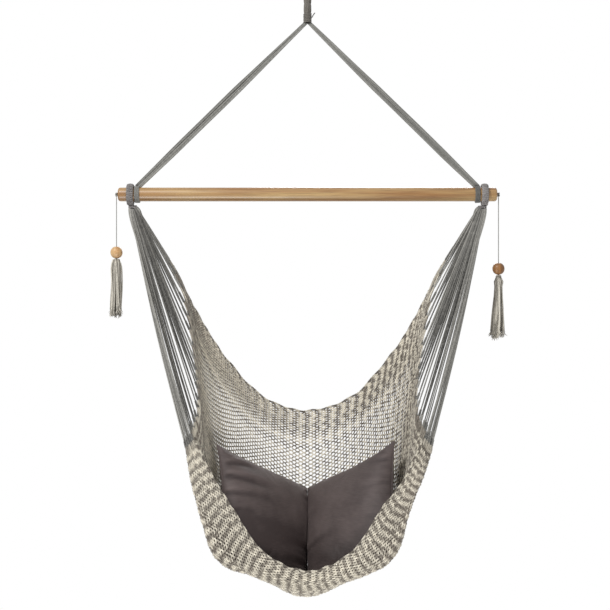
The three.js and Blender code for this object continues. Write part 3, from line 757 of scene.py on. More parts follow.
def bead(word, material):
    """A turned bead, full in the middle, with a bore for its string."""
    low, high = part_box(f"{word}_bead")
    radius = (high.x - low.x) / 2
    half = (high.z - low.z) / 2
    profile = []
    for angle in np.linspace(-BEAD_LAST_ANGLE, BEAD_LAST_ANGLE, 25):
        swell = abs(math.cos(angle)) ** BEAD_FULLNESS
        place = half * math.sin(angle) / math.sin(BEAD_LAST_ANGLE)
        profile.append((max(radius * swell, BEAD_BORE_RADIUS), place))
    profile[0] = (BEAD_BORE_RADIUS + BEAD_FLAT, -half)
    profile[-1] = (BEAD_BORE_RADIUS + BEAD_FLAT, half)
    mouths = [(BEAD_BORE_RADIUS, BEAD_DISH - half), (BEAD_BORE_RADIUS, half - BEAD_DISH)]
    profile = [mouths[0], *profile, mouths[1], mouths[0]]
    piece = turned_form(f"{word}_turned_bead", profile, middle_of(f"{word}_bead"), (0, 0, 1),
                        material, f"{word}_bead", f"{word}_bead", sides=48)


def tassel_head(word, head_radius):
    """Cords bent down over a core, and bound below."""
    low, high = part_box(f"{word}_tassel_head")
    x = (low.x + high.x) / 2
    turns = Strands()
    axis = np.linspace((x, 0, low.z + HEAD_CORD_RADIUS), (x, 0, low.z + HEAD_WRAP_TOP), 8)
    wound(turns, axis, (1, 0, 0), head_radius, head_radius, HEAD_CORD_RADIUS)
    core_shares = np.array([0.8, 0.85, 0.85, 0.85, 0.8, 0.7, 0.5, 0.25])
    turns.add(np.linspace((x, 0, low.z), (x, 0, high.z), 8), head_radius * core_shares)
    for angle in np.arange(HEAD_CORDS) / HEAD_CORDS * 2 * math.pi:
        bend = [
            (x + radius * math.cos(angle), radius * math.sin(angle), z) for radius, z in (
                (0.0022, high.z - 0.001),
                (0.0062, high.z - 0.0022),
                (head_radius - 0.0022, low.z + 0.0055),
                (head_radius - 0.0026, low.z + 0.002),
            )
        ]
        turns.add(smooth_line(bend, 8), HEAD_CORD_RADIUS)
    piece = turns.build(f"{word}_tassel_binding", TASSEL_CORD, f"{word}_tassel",
                        f"{word}_tassel_head")


def tassel_skirt(word, head_radius, flare, swell_share, rise, lean):
    """Loose strands with frayed ends. They start `rise` inside the head, reach `swell_share` of
    their spread right under it, and lean sideways by `lean` at their ends."""
    x = middle_of(f"{word}_tassel_head").x
    head_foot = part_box(f"{word}_tassel_head")[0].z
    length = head_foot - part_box(f"{word}_tassel_skirt")[0].z
    steps = np.linspace(0, 1, 14)
    swell = np.interp(steps, [0, 0.05, 0.16, 1], [0, 0.5, swell_share, 1])
    strands = Strands()
    for k in range(SKIRT_STRANDS):
        shell = math.sqrt((k + 0.5) / SKIRT_STRANDS)
        angle = k * GOLDEN_ANGLE + rng.normal(0, 0.12)
        top_radius = shell * (head_radius - 0.0022)
        end_radius = shell * flare * (1 + rng.normal(0, 0.05))
        drop = length * (1 - 0.11 * rng.random())
        sway = rng.normal(0, 0.0018, 2)
        radius = top_radius + (end_radius - top_radius) * swell
        swirl = angle + rng.normal(0, 0.15) * steps
        leaning = lean * steps ** 2 + sway[0] * np.sin(steps * 5 + k)
        line = np.stack([
            x + radius * np.cos(swirl) + leaning,
            radius * np.sin(swirl) + sway[1] * np.sin(steps * 4 + 2 * k),
            head_foot + rise - (drop + rise) * steps,
        ], axis=1)
        tone = 1.4 * rng.random() - 0.2
        strands.add(line[:-1], SKIRT_STRAND_RADIUS, tone=tone)
        for _ in range(FRAYED_HAIRS):
            spread = rng.normal(0, 0.0042, 3) * [1, 1, 0.6]
            hair = [line[-2], (line[-2] + line[-1]) / 2 + spread * 0.3, line[-1] + spread]
            strands.add(smooth_line(hair, 5), np.linspace(0.001, 0.0005, 5), tone=tone)
    piece = strands.build(f"{word}_tassel_strands", TASSEL_CORD, f"{word}_tassel",
                          f"{word}_tassel_skirt")


def tassel(word, slim_share, **skirt):
    low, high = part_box(f"{word}_tassel_head")
    head_radius = (high.x - low.x) / 2 * slim_share
    tassel_head(word, head_radius)
    tassel_skirt(word, head_radius, **skirt)


bead("left", PALE_WOOD)
bead("right", DARK_WOOD)
tassel("left", 1.0, flare=0.0165, swell_share=0.9, rise=0.0085, lean=-0.002)
tassel("right", 0.82, flare=0.0212, swell_share=0.3, rise=0.004, lean=-0.004)


# Seat loops over the bar and their bindings

LOOP_CORD_RADIUS = 0.0028
LOOP_CORE_MARGIN = 0.0055
LOOP_GAP = 0.0008  # to the bar
LOOP_FIRST_ANGLE = -52  # where the loop meets the bar, in degrees above its front
NECK_HALF_DEPTH = 0.0053
NECK_BEND = (0.004, 0.0055)  # how far the loop's ends go outward and up from the neck
BINDING_SHARE = 0.8  # of its solid's width


def seat_loop(word):
    """A bundle of cords that passes over the bar, whipped all round with thinner cord."""
    low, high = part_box(f"{word}_seat_loop")
    x = (low.x + high.x) / 2
    half_wide = (high.x - low.x) / 2
    outer = (high.y - low.y) / 2
    bore = BAR_RADIUS + LOOP_GAP
    half_thick = (outer - bore) / 2
    middle = (outer + bore) / 2
    neck = low.z + 0.001
    end = [(x, NECK_HALF_DEPTH + NECK_BEND[0], neck + NECK_BEND[1]), (x, NECK_HALF_DEPTH, neck)]
    start = [(x, -y, z) for x, y, z in reversed(end)]
    over = [
        (x, -middle * math.cos(angle), BAR_AXIS.z + middle * math.sin(angle))
        for angle in np.radians(np.linspace(LOOP_FIRST_ANGLE, 180 - LOOP_FIRST_ANGLE, 13))
    ]
    line = smooth_line([*start, *over, *end], 90)
    strands = Strands()
    wound(strands, line, (1, 0, 0), half_wide, half_thick, LOOP_CORD_RADIUS)
    for shift in np.linspace(-1, 1, 5) * (half_wide - LOOP_CORE_MARGIN):
        strands.add(line + [shift, 0, 0], half_thick - LOOP_CORD_RADIUS, (1, 0, 0))
    piece = strands.build(f"{word}_loop_whipping", BINDING_CORD, "seat", f"{word}_seat_loop")


for word, side in SIDES:
    seat_loop(word)
    turns = round_binding(f"{word}_loop_binding", cord_radius=0.0013, share=BINDING_SHARE,
                          swell=(0.9, 1, 1, 0.9))
    piece = turns.build(f"{word}_binding_turns", BINDING_CORD, "seat", f"{word}_loop_binding")


# The net. Its middle surface is the CAD net's, given as shares of the half width, the depth and the
# drop. Each row runs from the left side to the middle, and the rows go from the back edge, down
# under the seat, to the front edge.
NET_ACROSS_SHARES = [
    [-0.995, -0.828, -0.612, -0.35, 0],
    [-0.915, -0.795, -0.6, -0.325, 0],
    [-0.875, -0.788, -0.612, -0.325, 0],
    [-0.838, -0.763, -0.588, -0.3, 0],
    [-0.785, -0.745, -0.59, -0.312, 0],
    [-0.79, -0.735, -0.625, -0.32, 0],
    [-0.825, -0.762, -0.625, -0.32, 0],
    [-0.852, -0.775, -0.63, -0.32, 0],
    [-0.79, -0.68, -0.54, -0.3, 0],
]
NET_BEHIND_SHARES = [
    [0.252, 0.5, 0.68, 0.86, 0.988],
    [0.3, 0.46, 0.62, 0.78, 0.888],
    [0.28, 0.36, 0.46, 0.62, 0.76],
    [0.18, 0.2, 0.24, 0.36, 0.42],
    [-0.02, -0.02, -0.06, 0.08, 0.13],
    [-0.2, -0.32, -0.44, -0.24, -0.17],
    [-0.36, -0.66, -0.95, -0.57, -0.44],
    [-0.52, -0.83, -1.03, -0.8, -0.63],
    [-0.65, -0.74, -0.79, -0.78, -0.68],
]
NET_BELOW_SHARES = [
    [-0.168, -0.3, -0.42, -0.519, -0.562],
    [-0.24, -0.392, -0.52, -0.625, -0.66],
    [-0.309, -0.474, -0.612, -0.724, -0.762],
    [-0.377, -0.56, -0.716, -0.832, -0.866],
    [-0.5, -0.65, -0.798, -0.9, -0.945],
    [-0.565, -0.69, -0.828, -0.934, -0.995],
    [-0.6, -0.728, -0.872, -0.938, -0.98],
    [-0.632, -0.725, -0.838, -0.912, -0.95],
    [-0.606, -0.68, -0.755, -0.865, -0.908],
]
GRID_COLUMNS = 361
GRID_ROWS = 241


def net_grid():
    rows = []
    for across, behind, below in zip(NET_ACROSS_SHARES, NET_BEHIND_SHARES, NET_BELOW_SHARES):
        left = np.stack([
            np.array(across) * NET_HALF_WIDTH,
            np.array(behind) * NET_DEPTH + NET_SET_BACK,
            np.array(below) * NET_DROP - HANG_HEIGHT,
        ], axis=1)
        right = left[-2::-1] * [-1, 1, 1]
        rows.append(smooth_line(np.concatenate([left, right]), GRID_COLUMNS))
    rows = np.array(rows)
    columns = [smooth_line(rows[:, k], GRID_ROWS) for k in range(GRID_COLUMNS)]
    return np.array(columns).transpose(1, 0, 2)


NET_GRID = net_grid()

# The cloth isn't even: it rises at its lower right corner, its front edge sags in the middle and
# stands out at the right, and it undulates a little all over.
NET_BUMPS = [  # axis, height, place across, its width, place down, its width
    (0, -0.016, 0.7, 0.26, 0.84, 0.13),
    (2, 0.025, 0.7, 0.26, 0.84, 0.13),
    (2, -0.013, 0, 0.45, 1, 0.1),
    (0, 0.016, 0.76, 0.16, 1, 0.1),
    (0, 0.009, 1, 0.12, 0.92, 0.16),
]
grid_across = np.linspace(-1, 1, GRID_COLUMNS)[None, :]
grid_down = np.linspace(0, 1, GRID_ROWS)[:, None]
for axis, height, across, width, down, reach in NET_BUMPS:
    NET_GRID[..., axis] += height * hump(grid_across, across, width) * hump(grid_down, down, reach)
waves = (
    np.sin(grid_across * 17 + 3 * grid_down + 1) * np.sin(grid_down * 11 + 2)
    + 0.7 * np.sin(grid_across * 41 - 6 * grid_down) * np.sin(grid_down * 23 + 1)
)
rims = np.exp(-grid_down / 0.03) + np.exp(-(1 - grid_down) / 0.03)
ruffle = rims * np.sin(grid_across * 58 + 2 * np.sin(grid_across * 9))
NET_GRID[..., 1] += 0.002 * waves
NET_GRID[..., 2] += 0.0012 * waves + 0.0017 * ruffle
NET_NORMALS = unit(np.cross(np.gradient(NET_GRID, axis=1), np.gradient(NET_GRID, axis=0)))


def on_grid(grid, across, down):
    """Values between the grid's points. across runs from -1 to 1 and down from 0 to 1."""
    column = np.clip((np.asarray(across) + 1) / 2, 0, 1) * (GRID_COLUMNS - 1)
    row = np.clip(np.asarray(down), 0, 1) * (GRID_ROWS - 1)
    c = np.minimum(column.astype(int), GRID_COLUMNS - 2)
    r = np.minimum(row.astype(int), GRID_ROWS - 2)
    fc, fr = (column - c)[..., None], (row - r)[..., None]
    upper = grid[r, c] * (1 - fc) + grid[r, c + 1] * fc
    lower = grid[r + 1, c] * (1 - fc) + grid[r + 1, c + 1] * fc
    return upper * (1 - fr) + lower * fr


# Neighbouring cords lie closer together at the back edge and in the front roll.
DOWN = np.linspace(0, 1, 800)
spacing = np.interp(DOWN, [0, 0.06, 0.15, 0.66, 0.76, 1], [0.6, 0.64, 1, 1, 0.72, 0.66]) * NET_PITCH
drop_length = run_along(NET_GRID[:, GRID_COLUMNS // 2])[-1]
cord_number = np.concatenate([[0], np.cumsum(np.diff(DOWN) * drop_length / spacing[1:])])
NET_CORDS = int(cord_number[-1])
cord_number *= NET_CORDS / cord_number[-1]

CORD_END_STEPS = 5  # from the net's side to the seat string

# The stripes of the dyed cord drift a little from one cord to the next, and lean by this much.
STRIPE_LEAN = 0.34
stripe_shift = np.cumsum(rng.normal(0, 0.05, NET_CORDS))
stripe_shift += 0.12 * rng.normal(0, 1, NET_CORDS)
cord_tone = rng.normal(0, 0.09, NET_CORDS)
row_lengths = np.linalg.norm(np.diff(NET_GRID, axis=1), axis=2).sum(axis=1)


def string_share(k):
    """How far down the net's side a string lands. They land in threes, closest together in front."""
    group = k // STRINGS_PER_GROUP
    place = group / (STRINGS_PER_SIDE / STRINGS_PER_GROUP - 1)
    even = float(np.interp(place, [0, 0.26, 0.48, 0.97, 1], [0.02, 0.48, 0.75, 0.98, 0.99]))
    return even + 0.006 * math.sin(2.4 * group) * math.sin(place * math.pi)


def string_end(side, share):
    """Where a seat string meets the net's side, from 0 at the back edge to 1 at the front."""
    edge = on_grid(NET_GRID, side, share)
    low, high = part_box(f"{'left' if side < 0 else 'right'}_loop_binding")
    top = np.array([(low.x + high.x) / 2, 0, low.z])
    return edge + unit(top - edge) * (0.013 + 0.02 * (1 - share))


STRING_SHARES = np.array([string_share(k) for k in range(STRINGS_PER_SIDE)])
string_ends = {side: [string_end(side, share) for share in STRING_SHARES] for _, side in SIDES}


def dye_and_shade_of(across, cord, phase):
    """How pale the cord is there, from 0 to 1: its space-dyed stripes and painted shade. The stripes
    lean in the right of the back. In its left each mesh is painted dark along its level sides instead,
    as painted shade. The back's left side and the right of the front roll get a little painted shade."""
    share = cord / NET_CORDS
    run = across / 2 * row_lengths.mean() + STRIPE_LEAN * min(share, 0.5) * np.maximum(0, across)
    drift = np.interp(across, np.linspace(-1, 1, 14), rng.normal(0, 0.05, 14))
    wave = np.sin(2 * math.pi * (run / DYE_LENGTH + stripe_shift[cord] + drift))
    clear = np.interp(share, [0, 0.1, 0.5, 0.75, 1], [0.95, 0.85, 0.65, 0.62, 0.55])
    back = np.interp(share, [0, 0.03, 0.55, 0.65], [0.3, 1, 1, 0])
    left = np.interp(across, [-0.9, -0.75, -0.4, 0.1], [0.3, 1, 1, 0]) * back
    # Painted shade: the back's left side and the right of the front roll are darker
    shade = 0.2 * np.interp(across, [-0.8, -0.6], [1, 0]) * back
    shade += 0.08 * np.interp(across, [0.2, 0.6], [0, 1]) * np.interp(share, [0.7, 0.8], [0, 1])
    # Painted shade: each mesh is darker along its level sides than along its other sides
    painted_slope_shade = -np.tanh(1.5 * np.sin(phase))
    striped = clear * (1 - 0.85 * left) * np.tanh(1.3 * wave)
    return 0.5 - shade + cord_tone[cord] + 0.42 * (striped + 0.95 * left * painted_slope_shade)


def net_cord(strands, cord):
    """One cord of the net, from a seat string on the left to one on the right. It weaves over and
    under the cord above and the one below."""
    steps = NET_CELLS * NET_STEPS_PER_CELL + 1
    share = np.interp(cord, cord_number, DOWN)
    reach = np.interp(share, [0, 0.18], [0.84, 0.985])
    across = np.linspace(-reach, reach, steps)
    phase = (across + 1) / 2 * NET_CELLS * 2 * math.pi + math.pi * cord
    wander = np.interp(across, np.linspace(-1, 1, NET_CELLS), rng.normal(0, 0.09, NET_CELLS))
    weave = np.interp(share, [0.66, 0.78], [0.52, 0.43])
    number = cord + 0.5 + weave * np.cos(phase) + wander
    down = np.interp(np.clip(number, 0, NET_CORDS), cord_number, DOWN)
    lift = 1.02 * NET_CORD_RADIUS * np.cos(phase)
    normal = on_grid(NET_NORMALS, across, down)
    dye = dye_and_shade_of(across, cord, phase)
    rib = NET_RIB * np.interp(share, [0, 0.1, 0.65, 0.75], [0.6, 0, 0, 1]) * (dye - 0.5)
    line = on_grid(NET_GRID, across, down) + normal * (lift + rib)[:, None]
    nearest = int(np.argmin(np.abs(STRING_SHARES - share)))
    ends = []
    for side, last, inner in ((-1, 0, NET_STEPS_PER_CELL), (1, -1, -1 - NET_STEPS_PER_CELL)):
        edge = line[last]
        toward = string_ends[side][nearest] - edge
        bend = edge + 0.3 * np.linalg.norm(toward) * unit(edge - line[inner]) + 0.2 * toward
        ends.append(smooth_line([edge, bend, edge + toward], CORD_END_STEPS + 1)[1:])
    line = np.concatenate([ends[0][::-1], line, ends[1]])
    normal = np.pad(normal, ((CORD_END_STEPS, CORD_END_STEPS), (0, 0)), "edge")
    dye = np.pad(dye, CORD_END_STEPS, "edge")
    thick = np.interp(share, [0, 0.06, 0.15, 0.7, 0.8, 1], [1.3, 1.25, 1, 1, 1.25, 1.3])
    strands.add(line, NET_CORD_RADIUS * thick, normal, dye=dye)


# The net is one sheet, built as eight strips of it.
NET_PIECES = 8
for part in range(NET_PIECES):
    cords = range(NET_CORDS * part // NET_PIECES, NET_CORDS * (part + 1) // NET_PIECES)
    strands = Strands(NET_SIDES)
    for cord in cords:
        net_cord(strands, cord)
    piece = strands.build(f"net_cords_{part + 1}", NET_CORD, "seat", *(["net"] if part == 0 else []))


# Cords round the net's rim

EDGE_CORD_RADIUS = 0.0034
EDGE_CORD_OFFSET = 0.0035  # outward from the net's edge
EDGE_STEPS = 320
SIDE_CORD_RADIUS = 0.0026
SIDE_CORD_OFFSET = 0.006  # from the net's side toward the strings


def edge_cord(name, node, down, inside, reach, cord):
    """The cord along the net's edge at `down`, dyed as the net's cord next to it. `inside` is a
    place a little further into the net, and `reach` how near to the sides it comes."""
    across = np.linspace(-reach, reach, EDGE_STEPS)
    line = on_grid(NET_GRID, across, np.full(EDGE_STEPS, down))
    inward = unit(on_grid(NET_GRID, across, np.full(EDGE_STEPS, inside)) - line)

    def dye(run):
        wave = np.sin(2 * math.pi * (run / DYE_LENGTH + stripe_shift[cord]))
        return 0.5 + 0.5 * np.tanh(2.2 * wave)

    strands = Strands()
    line = line - inward * EDGE_CORD_OFFSET
    twisted(strands, line, EDGE_CORD_RADIUS, plies=3, lay=0.016, dye=dye)
    piece = strands.build(name, NET_CORD, "seat", node)


edge_cord("back_rim_cord", "back_edge_cord", down=0, inside=0.012, reach=0.85, cord=0)
edge_cord("front_rim_cord", "front_edge_cord", down=1, inside=0.988, reach=0.99, cord=-1)


def side_cord(word, side):
    """The cord that the seat strings pass round, at the net's side."""
    ends = np.array(string_ends[side][::STRINGS_PER_GROUP])
    edge = on_grid(NET_GRID, side, STRING_SHARES[::STRINGS_PER_GROUP])
    line = smooth_line(edge + unit(ends - edge) * SIDE_CORD_OFFSET, 260, fine=8)
    strands = Strands()
    twisted(strands, line, SIDE_CORD_RADIUS, plies=2, lay=0.011)
    piece = strands.build(f"{word}_rim_cord", GREY_CORD, "seat", f"{word}_side_cord")


# Where along a seat string its points lie. They are closest at its top, where it bends.
STRING_STEP_SHARES = np.concatenate([[0, 0.012, 0.025, 0.04, 0.06], np.linspace(0.085, 1, 17)])
STRING_BOW = 0.009  # outward, of the string at the front
STRING_APART = 0.0019  # from the middle of its group
STRING_WANDER = 0.0012
STRING_ROWS_APART = 0.0034  # fore and aft, where the strings leave the binding
STRING_START_INSIDE = 0.005  # up into the binding
STRINGS_PER_BUNCH = 6
GROUP_BINDING_RADIUS = 0.0036
GROUP_CORD_RADIUS = 0.0011


def string_start(word, side, k):
    """Where a seat string leaves its binding. The strings leave it in bunches."""
    low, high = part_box(f"{word}_loop_binding")
    half = (high.x - low.x) / 2 * BINDING_SHARE - 0.002
    share = (k + 0.5) / STRINGS_PER_SIDE
    bunch = (k // STRINGS_PER_BUNCH + 0.5) / (STRINGS_PER_SIDE / STRINGS_PER_BUNCH)
    return np.array([
        (low.x + high.x) / 2 + side * half * (1.4 * bunch + 0.6 * share - 1),
        (k % STRINGS_PER_GROUP - 1) * STRING_ROWS_APART,
        low.z + STRING_START_INSIDE,
    ])


def seat_string(word, side, k, start, end):
    """A string's line. It bulges a little under the binding and bows outward toward the front."""
    steps = STRING_STEP_SHARES[:, None]
    turn = 2.1 * (k % STRINGS_PER_GROUP)
    aside = STRING_APART * np.array([0, math.cos(turn), math.sin(turn)])
    outward = side * STRING_BOW * ((k + 0.5) / STRINGS_PER_SIDE) ** 2
    bow = [outward + rng.normal(0, STRING_WANDER), rng.normal(0, STRING_WANDER), 0]
    shoulder = [start[0] - middle_of(f"{word}_loop_binding").x, 3.4 * start[1], 0]
    return (
        start + (end - start) * steps + aside * (steps < 0.97)
        + np.sin(steps * math.pi) * np.array(bow)
        + 0.4 * np.sin(np.clip(steps / 0.14, 0, 1) ** 0.7 * math.pi) * np.array(shoulder)
    )


def seat_strings(word, side):
    """The fan of strings from the loop's binding to the net's side, with a binding round the end
    of each group."""
    fans = ("back", "middle", "front")
    bundles = [Strands() for _ in fans]
    for k in range(STRINGS_PER_SIDE):
        share = (k + 0.5) / STRINGS_PER_SIDE
        landing = STRING_SHARES[k]
        bundle = bundles[min(int(share * len(fans)), len(fans) - 1)]
        start, end = string_start(word, side, k), string_ends[side][k]
        line = seat_string(word, side, k, start, end)
        # How pale the strings are from the fan's back to its front, in turns of darker and paler ones:
        # painted shade, darkest in the fan's middle and in some bunches, with random tone added
        painted_shade_tone = np.interp(share, [0, 0.15, 0.35, 0.6, 0.75, 1], [0.42, 0.33, 0, 0.22, 0.62, 0.68])
        painted_bunch_shade = 0.3 * math.sin(2.4 * (k // STRINGS_PER_BUNCH))
        tone = float(np.clip(painted_shade_tone + painted_bunch_shade + rng.normal(0, 0.26), 0, 1))
        bundle.add(line, STRING_RADIUS * (1.2 if landing < 0.6 else 1), tone=tone)
        if k % STRINGS_PER_GROUP:
            continue
        run = np.linspace(-0.004, 0.015 + 0.03 * (1 - landing) ** 3, 10)[:, None]
        bound = end + unit(start - end) * run
        bundle.add(bound, 0.0024, dye=np.full(10, 0.4))
        wound(bundle, bound, carried(bound), GROUP_BINDING_RADIUS, GROUP_BINDING_RADIUS,
              GROUP_CORD_RADIUS)
    for name, strands in zip(fans, bundles):
        piece = strands.build(f"{word}_{name}_fan", FAN_CORD, "seat", f"{word}_{name}_strings")


for word, side in SIDES:
    side_cord(word, side)
    seat_strings(word, side)


# Cushions

def cushion_frame(side):
    """The cushion's middle and its three directions: across, up the cushion, and facing out."""
    up = Vector(CUSHION_UP).normalized()
    forward = Vector((0, -up.z, up.y))
    outward = Vector((side, 0, 0)) * math.cos(CUSHION_FOLD) + forward * math.sin(CUSHION_FOLD)
    across = outward * side
    facing = across.cross(up).normalized()
    foot = Vector((side * CUSHION_FOOT[0], CUSHION_FOOT[1], CUSHION_FOOT[2]))
    middle = foot + (outward + up) * CUSHION_SIDE / 2 + Vector(CUSHION_REST)
    turn = Matrix((across, up, facing)).transposed().to_4x4()
    return Matrix.Translation(middle) @ turn


def on_outline(x, y, side, width=CUSHION_SIDE):
    """A place on the square, from -1 to 1 each way, in metres. Its sides pull in between the corners,
    and the net presses in the lower outer one."""
    half = width / 2
    press = CUSHION_CORNER_PRESS * (np.maximum(0, side * x) * np.maximum(0, -y)) ** CORNER_POWER
    spine = np.maximum(0, -side * x) ** 3
    pull = OUTLINE_PULL_SHARE * (1 - y * y) * (1 - spine)
    ear = (np.maximum(0, side * x) * np.maximum(0, y)) ** 2
    ear_across, ear_up = CUSHION_EARS[side]
    drop = CUSHION_SPINE_DROP * (np.maximum(0, -side * x) * np.maximum(0, y)) ** 3
    px = half * x * (1 - pull) + side * (ear_across * ear - press - CUSHION_SPINE_SWELL * spine)
    py = half * y * (1 - OUTLINE_PULL_SHARE * (1 - x * x)) + press + ear_up * ear - drop
    return px, py


def pillow_grid(cells, thickness, side, width=CUSHION_SIDE):
    """Both layers of a square pillow, as points in its own frame and quads. They share the rim, near
    which the points are closer together."""
    index, points, faces = {}, [], []
    even = 2 * np.arange(cells + 1) / cells - 1
    line = 0.5 * np.sin(even * math.pi / 2) + 0.5 * even
    for layer in (1, -1):
        for row, y in enumerate(line):
            for column, x in enumerate(line):
                rim = row in (0, cells) or column in (0, cells)
                if rim and layer < 0:
                    index[layer, row, column] = index[1, row, column]
                    continue
                fade = max(0, 1 - abs(x) ** CROWN_POWER) * max(0, 1 - abs(y) ** CROWN_POWER)
                height = layer * thickness / 2 * fade ** CROWN_SHARE
                index[layer, row, column] = len(points)
                points.append((*on_outline(x, y, side, width), height))
    for layer in (1, -1):
        for row in range(cells):
            for column in range(cells):
                corners = [index[layer, row, column], index[layer, row, column + 1],
                           index[layer, row + 1, column + 1], index[layer, row + 1, column]]
                faces.append(corners if layer > 0 else corners[::-1])
    return np.array(points), faces


CLOTH = {
    "quality": 5, "mass": 0.3, "tension_stiffness": 12, "compression_stiffness": 12,
    "shear_stiffness": 5, "bending_stiffness": 0.4, "use_pressure": True,
    "uniform_pressure_force": 4, "vertex_group_mass": "seam",
}
SEAM_HOLD = 0.35
CLOTH_FRAMES = 20
CLOTH_REACH = 0.012  # the furthest that a point of the cover moves


def inflated(name, points, faces):
    """The pillow's cover blown up as cloth, with its seam held, and no point moved too far."""
    cover = placed(name, smooth_mesh(name, points, faces, COVER_CLOTH))
    rim = [k for k, point in enumerate(points) if abs(point[2]) < 1e-9]
    cover.vertex_groups.new(name="seam").add(rim, SEAM_HOLD, "REPLACE")
    cloth = cover.modifiers.new("cloth", "CLOTH")
    for key, value in CLOTH.items():
        setattr(cloth.settings, key, value)
    cloth.settings.effector_weights.gravity = 0
    cloth.collision_settings.use_collision = False
    cloth.collision_settings.use_self_collision = False
    scene = bpy.context.scene
    for number in range(CLOTH_FRAMES):
        scene.frame_set(number + 1)
    shape = cover.evaluated_get(bpy.context.evaluated_depsgraph_get()).to_mesh()
    shift = np.array([v.co for v in shape.vertices]) - points
    scene.frame_set(1)
    bpy.data.objects.remove(cover)
    size = np.linalg.norm(shift, axis=1, keepdims=True)
    return points + shift * np.minimum(1, CLOTH_REACH / np.maximum(size, 1e-9))


# Each crease runs in from a side seam: the side it starts at, its place up the side, its length, slope
# and depth.
CREASES = {
    "left": [
        (-1, 0.7, 0.7, 0.04, 0.0055), (-1, 0.46, 0.95, -0.06, 0.0062), (-1, 0.14, 0.9, 0.08, 0.005),
        (-1, -0.2, 0.6, 0.16, 0.0045), (1, 0.6, 0.4, -0.1, 0.0022), (1, -0.3, 0.8, -0.16, 0.0045),
        (1, -0.62, 1.0, -0.12, 0.005),
    ],
    "right": [
        (1, 0.76, 0.45, 0.04, 0.003), (1, 0.34, 0.6, -0.08, 0.0026), (-1, 0.2, 0.5, 0.12, 0.0022),
        (-1, -0.4, 0.9, 0.14, 0.0036), (1, -0.3, 0.6, 0.1, 0.0026),
    ],
}
SLUMPS = {"left": (0.25, 0.009), "right": (-0.1, 0.004)}  # where the low hollow starts, its depth
PUCKER_DEPTH = 0.0011


def creased(points, word):
    """The cover with its creases, with fine puckers all round the seam, and with a hollow low down,
    where the cushion slumps. Gives the points and how deep each one sank."""
    x = points[:, 0] / (CUSHION_SIDE / 2)
    y = points[:, 1] / (CUSHION_SIDE / 2)
    sink = np.zeros(len(points))
    for edge, place, length, slope, depth in CREASES[word]:
        inward = np.clip(1 - x * edge, 0, 2)
        off = y - place - slope * inward
        width = 0.034 + 0.05 * inward
        along = np.clip(1 - inward / length, 0, 1) ** 0.7 * np.clip(inward / 0.08, 0, 1)
        sink += depth * along * (hump(off, 0, width) - 0.5 * hump(off, 2 * width, width))
    start, depth = SLUMPS[word]
    slump = np.clip((start - y) / 0.6, 0, 1)
    sink += depth * slump * slump * np.clip(2 - 2 * np.abs(y), 0, 1)
    for along_edge, off_edge, phase in ((y, 1 - np.abs(x), 0.4), (x, 1 - np.abs(y), 1.7)):
        ripple = np.sin(along_edge * 34 + phase + 2 * np.sin(along_edge * 7 + phase))
        sink += PUCKER_DEPTH * ripple * hump(off_edge, 0.07, 0.06)
    shaped = points.copy()
    shaped[:, 2] -= np.sign(points[:, 2]) * sink
    return shaped, sink


def moved(where, points):
    return np.array([where @ Vector(point) for point in points])


def cushion_cover(word, side, where):
    cells = 72
    points, faces = pillow_grid(cells, CUSHION_THICKNESS, side)
    points = inflated(f"{word}_cloth", points, faces)
    points, sink = creased(points, word)
    mesh = smooth_mesh(f"{word}_cushion", points, faces, COVER_CLOTH)
    mesh.transform(where)
    mesh.update()
    # How deep the cover sank, kept on the mesh for the cloth's painted shade and painted highlight
    fold = np.clip(sink / 0.005, -1, 1).astype(np.float32)
    mesh.attributes.new("fold", "FLOAT", "POINT").data.foreach_set("value", fold)
    piece = settle(mesh, f"{word}_cushion", None)
    smooth = piece.modifiers.new("smooth", "SUBSURF")
    smooth.levels = smooth.render_levels = 1
    with bpy.context.temp_override(object=piece, active_object=piece, selected_objects=[piece]):
        bpy.ops.object.modifier_apply(modifier="smooth")
    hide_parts(f"{word}_cushion_cover")
    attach(piece, f"{word}_cushion")


PIPING_RADIUS = 0.0021
PIPING_INSET = 0.0016


def cushion_piping(word, side, where):
    """The piping in the seam follows the rim."""
    t = np.linspace(-1, 1, 60)
    ones = np.ones(60)
    square = np.concatenate([
        np.stack([t, -ones], 1), np.stack([ones, t], 1)[1:],
        np.stack([-t, ones], 1)[1:], np.stack([-ones, -t], 1)[1:],
    ])
    around = on_outline(square[:, 0], square[:, 1], side)
    outline = np.stack([*around, np.zeros(len(square))], axis=1)
    outline *= 1 - PIPING_INSET / (CUSHION_SIDE / 2)
    piping = Strands(8)
    piping.add(moved(where, outline), PIPING_RADIUS)
    seam = piping.build(f"{word}_cushion_piping", COVER_CLOTH, f"{word}_cushion")


ZIP_HALF = 0.1
ZIP_TURNS = 100
ZIP_COIL_RADIUS = 0.0011
ZIP_WIRE_RADIUS = 0.0004
ZIP_TAPE_RADIUS = 0.0011
ZIP_TAPE_OFFSET = 0.0009
SLIDER_LENGTH = 0.008
SLIDER_RADII = [0.0012, 0.0019, 0.002, 0.0019, 0.0017, 0.0019, 0.002, 0.0013]
LOW_EDGE = -CUSHION_SIDE / 2 * (1 - OUTLINE_PULL_SHARE)
ZIP_DROPS = (0.0022, 0.0004, 0.0026)  # of the coil, the tapes and the slider below the edge


